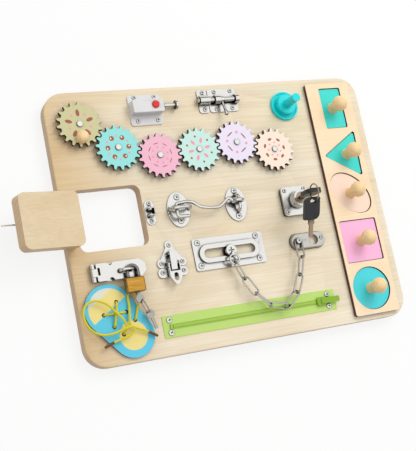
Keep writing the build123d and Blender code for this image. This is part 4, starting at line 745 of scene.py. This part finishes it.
def cut_cross(form, rim, x, y, top, reach, turn):
    """Closes a head's top ring round a cross-shaped pit."""
    half = CROSS_HALF_MM * MM
    corner = [(reach, -half), (reach, half), (half, half)]
    arms = [Matrix.Rotation(turn + math.pi / 2 * arm, 2) for arm in range(4)]
    outline = [arm @ Vector(spot) for arm in arms for spot in corner]
    upper = [form.verts.new((x + spot.x, y + spot.y, top)) for spot in outline]
    lower = [form.verts.new((x + spot.x, y + spot.y, top - CROSS_DEPTH_MM * MM)) for spot in outline]
    loops = [form.edges.new((upper[i], upper[(i + 1) % len(upper)])) for i in range(len(upper))]
    loops += [form.edges.get((rim[i], rim[(i + 1) % len(rim)])) for i in range(len(rim))]
    bmesh.ops.triangle_fill(form, use_beauty=True, edges=loops)
    # the pit's walls and floor take the second material, the painted shade
    for i in range(len(upper)):
        after = (i + 1) % len(upper)
        form.faces.new((upper[i], upper[after], lower[after], lower[i])).material_index = 1
    form.faces.new(lower).material_index = 1


def finish_turned(name, form, node, metals):
    """Makes the piece, smooth but for its sharp corners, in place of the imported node."""
    bmesh.ops.recalc_face_normals(form, faces=form.faces)
    bmesh.ops.triangulate(form, faces=[face for face in form.faces if len(face.verts) > 4])
    for face in form.faces:
        face.smooth = True
    mesh = bpy.data.meshes.new(name)
    form.to_mesh(mesh)
    form.free()
    for metal in metals:
        mesh.materials.append(metal)
    mesh.set_sharp_from_angle(angle=math.radians(SMOOTH_DEG))
    piece = bpy.data.objects.new(name, mesh)
    bpy.context.scene.collection.objects.link(piece)
    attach(piece, body_of[node])
    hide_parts(node)


screws = bmesh.new()
for low, high in upright_pieces("plate_screws"):
    x, y = (low.x + high.x) / 2, (low.y + high.y) / 2
    radius = (high.x - low.x) / 2
    seat = high.z - HEAD_HEIGHT_MM * MM
    profile = [(SHANK_MM * MM, low.z), (SHANK_MM * MM, seat)]
    profile += [(radius * share, seat + HEAD_HEIGHT_MM * MM * rise) for share, rise in DOME_SHARES]
    rim = turn_profile(screws, x, y, profile)
    cut_cross(screws, rim, x, y, high.z, radius * CROSS_SHARE, random.uniform(0, math.pi / 2))
finish_turned("turned_screws", screws, "plate_screws", [screw_steel, recess_shade])
axles = bmesh.new()
for low, high in upright_pieces("gear_axles"):
    rim = turn_profile(axles, (low.x + high.x) / 2, (low.y + high.y) / 2,
                       [(radius * MM, FRONT + height * MM) for radius, height in AXLE_PROFILE_MM])
    axles.faces.new(rim)
finish_turned("turned_axles", axles, "gear_axles", [screw_steel])
print("screws and axles turned")

# %% [markdown]
# ## Lace
# The shoe's lace is one round braided cord with a hard tip at each end. A cord is drawn best as a smooth
# curve with a round section: its route is a short list of given points, in mm above the board's
# face, and the spline rounds the corners as a limp cord does. It dives under the shoe from hole to hole,
# and then lies in two loops. These are the points that the construction model follows.

# %% Draw the lace
LACE_RADIUS = 1.2 * MM
UNDER, LOW, OVER = -3.6, 4.4, 6.9
SHOE_HOLES = [(-159, -84), (-175, -96), (-150, -96), (-166, -110), (-142, -106), (-157, -119)]
FIRST_END = [(-130.97, -120.64, 6.77), (-132, -120, 6.8), (-142, -115, 6.8), (-150, -111.5, 6.8)]
RIGHT_LOOP = [(-148.6, -101, 6.8), (-146.5, -90, 5.6), (-146.4, -80, 4.6), (-143, -73.5, 4.4),
              (-137, -75, 4.4), (-134.8, -84, 4.8), (-137.5, -94, 5.2)]
RISE = [(-154.3, -113.5, 7.6), (-154.8, -106.5, 9.5)]
LEFT_LOOP = [(-163, -96, 9.5), (-171, -85.5, 9.3), (-182, -79.5, 8.4), (-193, -81.5, 7), (-198, -90, 6.4),
             (-197, -102, 6.2), (-190, -112.5, 6.2), (-179, -117.5, 7.2), (-168, -116.8, 9)]
SECOND_END = [(-157, -113.6, 10.4), (-147.5, -111.8, 10.4), (-146.8, -118.5, 9.6), (-156, -122.6, 7.6),
              (-168, -125, 6.4), (-170.3, -125.8, 6.33)]
route = FIRST_END + RIGHT_LOOP
for step, (hole, level) in enumerate(zip((4, 2, 1, 0, 3, 5), (LOW, LOW, LOW, OVER, OVER, LOW))):
    ends = [(*SHOE_HOLES[hole], level), (*SHOE_HOLES[hole], UNDER)]
    route += ends if step % 2 == 0 else ends[::-1]
route += RISE + LEFT_LOOP + SECOND_END

lace_curve = bpy.data.curves.new("lace", "CURVE")
lace_curve.dimensions = "3D"
lace_curve.bevel_depth = LACE_RADIUS
lace_curve.bevel_resolution = 4
lace_curve.resolution_u = 8
spline = lace_curve.splines.new("NURBS")
spline.points.add(len(route) - 1)
for point, (x, y, height) in zip(spline.points, route):
    point.co = (x * MM, y * MM, FRONT + height * MM, 1)
spline.order_u = 3
spline.use_endpoint_u = True
lace_curve.materials.append(finishes["lace_cotton"])
lace = bpy.data.objects.new("lace", lace_curve)
bpy.context.scene.collection.objects.link(lace)
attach(lace, "board")
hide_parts("shoe_lace")

# %% [markdown]
# ## Floor and light
# The toy lies alone on white. The floor is a wide pale sheet under the board that takes its shadow, and
# the camera sees it as nearly plain white. Two soft lamps hang above the board on its right, the stronger
# one towards the back, and a room that is brighter above and behind gives the flat, even light of a
# product photograph. Polished metal shows its surroundings: a white room and floor, with a band of grey cards
# half-way up, as a photographer places them to draw the outline of bright metal.

# %% Lay the floor and hang the lamps
FLOOR_HALF = 4.0
FLOOR_DROP_MM = 0.2
GLOW_SHARE = 0.82
ROOM_STRENGTH = 0.82
LIGHT_SIDE = (-0.25, 0.75, 0.6)
SIDE_REACH = 0.9
SOFT_ROOM = [(0.0, "#87817A"), (0.45, "#BDB8B2"), (0.8, "#FFFFFF")]
CARD_SCALE = 2.4
CARD_WAVER = 0.5
CARD_ROOM = [(0.3, "#F4F3F1"), (0.4, "#4A4642"), (0.66, "#524E4A"), (0.86, "#F4F3F1"), (1.0, "#FFFFFF")]
floor_mesh = bpy.data.meshes.new("floor")
floor_mesh.from_pydata([(x * FLOOR_HALF, y * FLOOR_HALF, cad_box[0].z - FLOOR_DROP_MM * MM) for x, y in
                        ((-1, -1), (1, -1), (1, 1), (-1, 1))], [], [(0, 1, 2, 3)])
floor = bpy.data.objects.new("floor", floor_mesh)
bpy.context.scene.collection.objects.link(floor)
floor_paint = bpy.data.materials.new("white_floor")
floor_paint.use_nodes = True
floor_paint.node_tree.nodes.clear()
path = add_node(floor_paint, "ShaderNodeLightPath").outputs
mirrored_or_seen = add_node(floor_paint, "ShaderNodeMath", {
    0: path["Is Camera Ray"], 1: path["Is Glossy Ray"]}, operation="MAXIMUM").outputs[0]
seen = add_node(floor_paint, "ShaderNodeMath", {
    0: mirrored_or_seen, 1: path["Is Transmission Ray"]}, operation="MAXIMUM").outputs[0]
matt = add_node(floor_paint, "ShaderNodeBsdfDiffuse", {"Color": paint("#F4F4F4")}).outputs[0]
glow = add_node(floor_paint, "ShaderNodeEmission", {"Color": paint("#FFFFFF"), "Strength": 1.0}).outputs[0]
dim = add_node(floor_paint, "ShaderNodeBsdfDiffuse", {"Color": paint("#C6C6C6")}).outputs[0]
pale = add_node(floor_paint, "ShaderNodeMixShader", {0: GLOW_SHARE, 1: matt, 2: glow}).outputs[0]
mixed = add_node(floor_paint, "ShaderNodeMixShader", {0: seen, 1: dim, 2: pale}).outputs[0]
add_node(floor_paint, "ShaderNodeOutputMaterial", {"Surface": mixed})
floor_mesh.materials.append(floor_paint)

world = bpy.data.worlds.new("white_room")
bpy.context.scene.world = world
world.use_nodes = True
world.node_tree.nodes.clear()
direction = add_node(world, "ShaderNodeTexCoord").outputs["Generated"]
height = add_node(world, "ShaderNodeSeparateXYZ", {"Vector": direction}).outputs["Z"]
cards = add_node(world, "ShaderNodeTexNoise", {
    "Vector": direction, "Scale": CARD_SCALE, "Detail": 1.0}).outputs[0]
level = add_node(world, "ShaderNodeMath", {
    0: cards, 1: CARD_WAVER, 2: height}, operation="MULTIPLY_ADD").outputs[0]
mirrored = blend_colours(world, level, CARD_ROOM)
side = add_node(world, "ShaderNodeVectorMath", {
    0: direction, 1: LIGHT_SIDE}, operation="DOT_PRODUCT").outputs["Value"]
side_share = add_node(world, "ShaderNodeMapRange", {
    "Value": side, "From Min": -SIDE_REACH, "From Max": SIDE_REACH}).outputs[0]
soft = blend_colours(world, side_share, SOFT_ROOM)
ray = add_node(world, "ShaderNodeLightPath")
soft_light = add_node(world, "ShaderNodeBackground", {"Color": soft, "Strength": ROOM_STRENGTH}).outputs[0]
mirror_light = add_node(world, "ShaderNodeBackground", {"Color": mirrored, "Strength": 1.0}).outputs[0]
white = add_node(world, "ShaderNodeBackground", {"Color": paint("#FFFFFF"), "Strength": 1.0}).outputs[0]
felt = add_node(world, "ShaderNodeMixShader", {
    0: ray.outputs["Is Glossy Ray"], 1: soft_light, 2: mirror_light}).outputs[0]
straight = add_node(world, "ShaderNodeMath", {
    0: ray.outputs["Is Camera Ray"], 1: ray.outputs["Is Transmission Ray"]}, operation="MAXIMUM").outputs[0]
shown = add_node(world, "ShaderNodeMixShader", {0: straight, 1: felt, 2: white}).outputs[0]
add_node(world, "ShaderNodeOutputWorld", {"Surface": shown})


def soft_lamp(name, place, target, size, power):
    """A square soft box at place, facing target, left out of reflections.

    Flat plates would mirror it as a white patch and lose their own colour.
    """
    data = bpy.data.lights.new(name, "AREA")
    data.shape = "SQUARE"
    data.size = size
    data.energy = power
    lamp = bpy.data.objects.new(name, data)
    bpy.context.scene.collection.objects.link(lamp)
    facing = (Vector(target) - Vector(place)).to_track_quat("-Z", "Y")
    lamp.matrix_world = Matrix.Translation(place) @ facing.to_matrix().to_4x4()
    lamp.visible_glossy = False


soft_lamp("key_lamp", (0.75, 0.85, 1.4), (0, 0, 0), 0.9, 12.0)
soft_lamp("fill_lamp", (0.9, -0.3, 1.4), (0, 0, 0), 1.4, 4.0)
bpy.context.scene.view_settings.view_transform = "Standard"
print("floor at", round(cad_box[0].z / MM, 1), "mm")
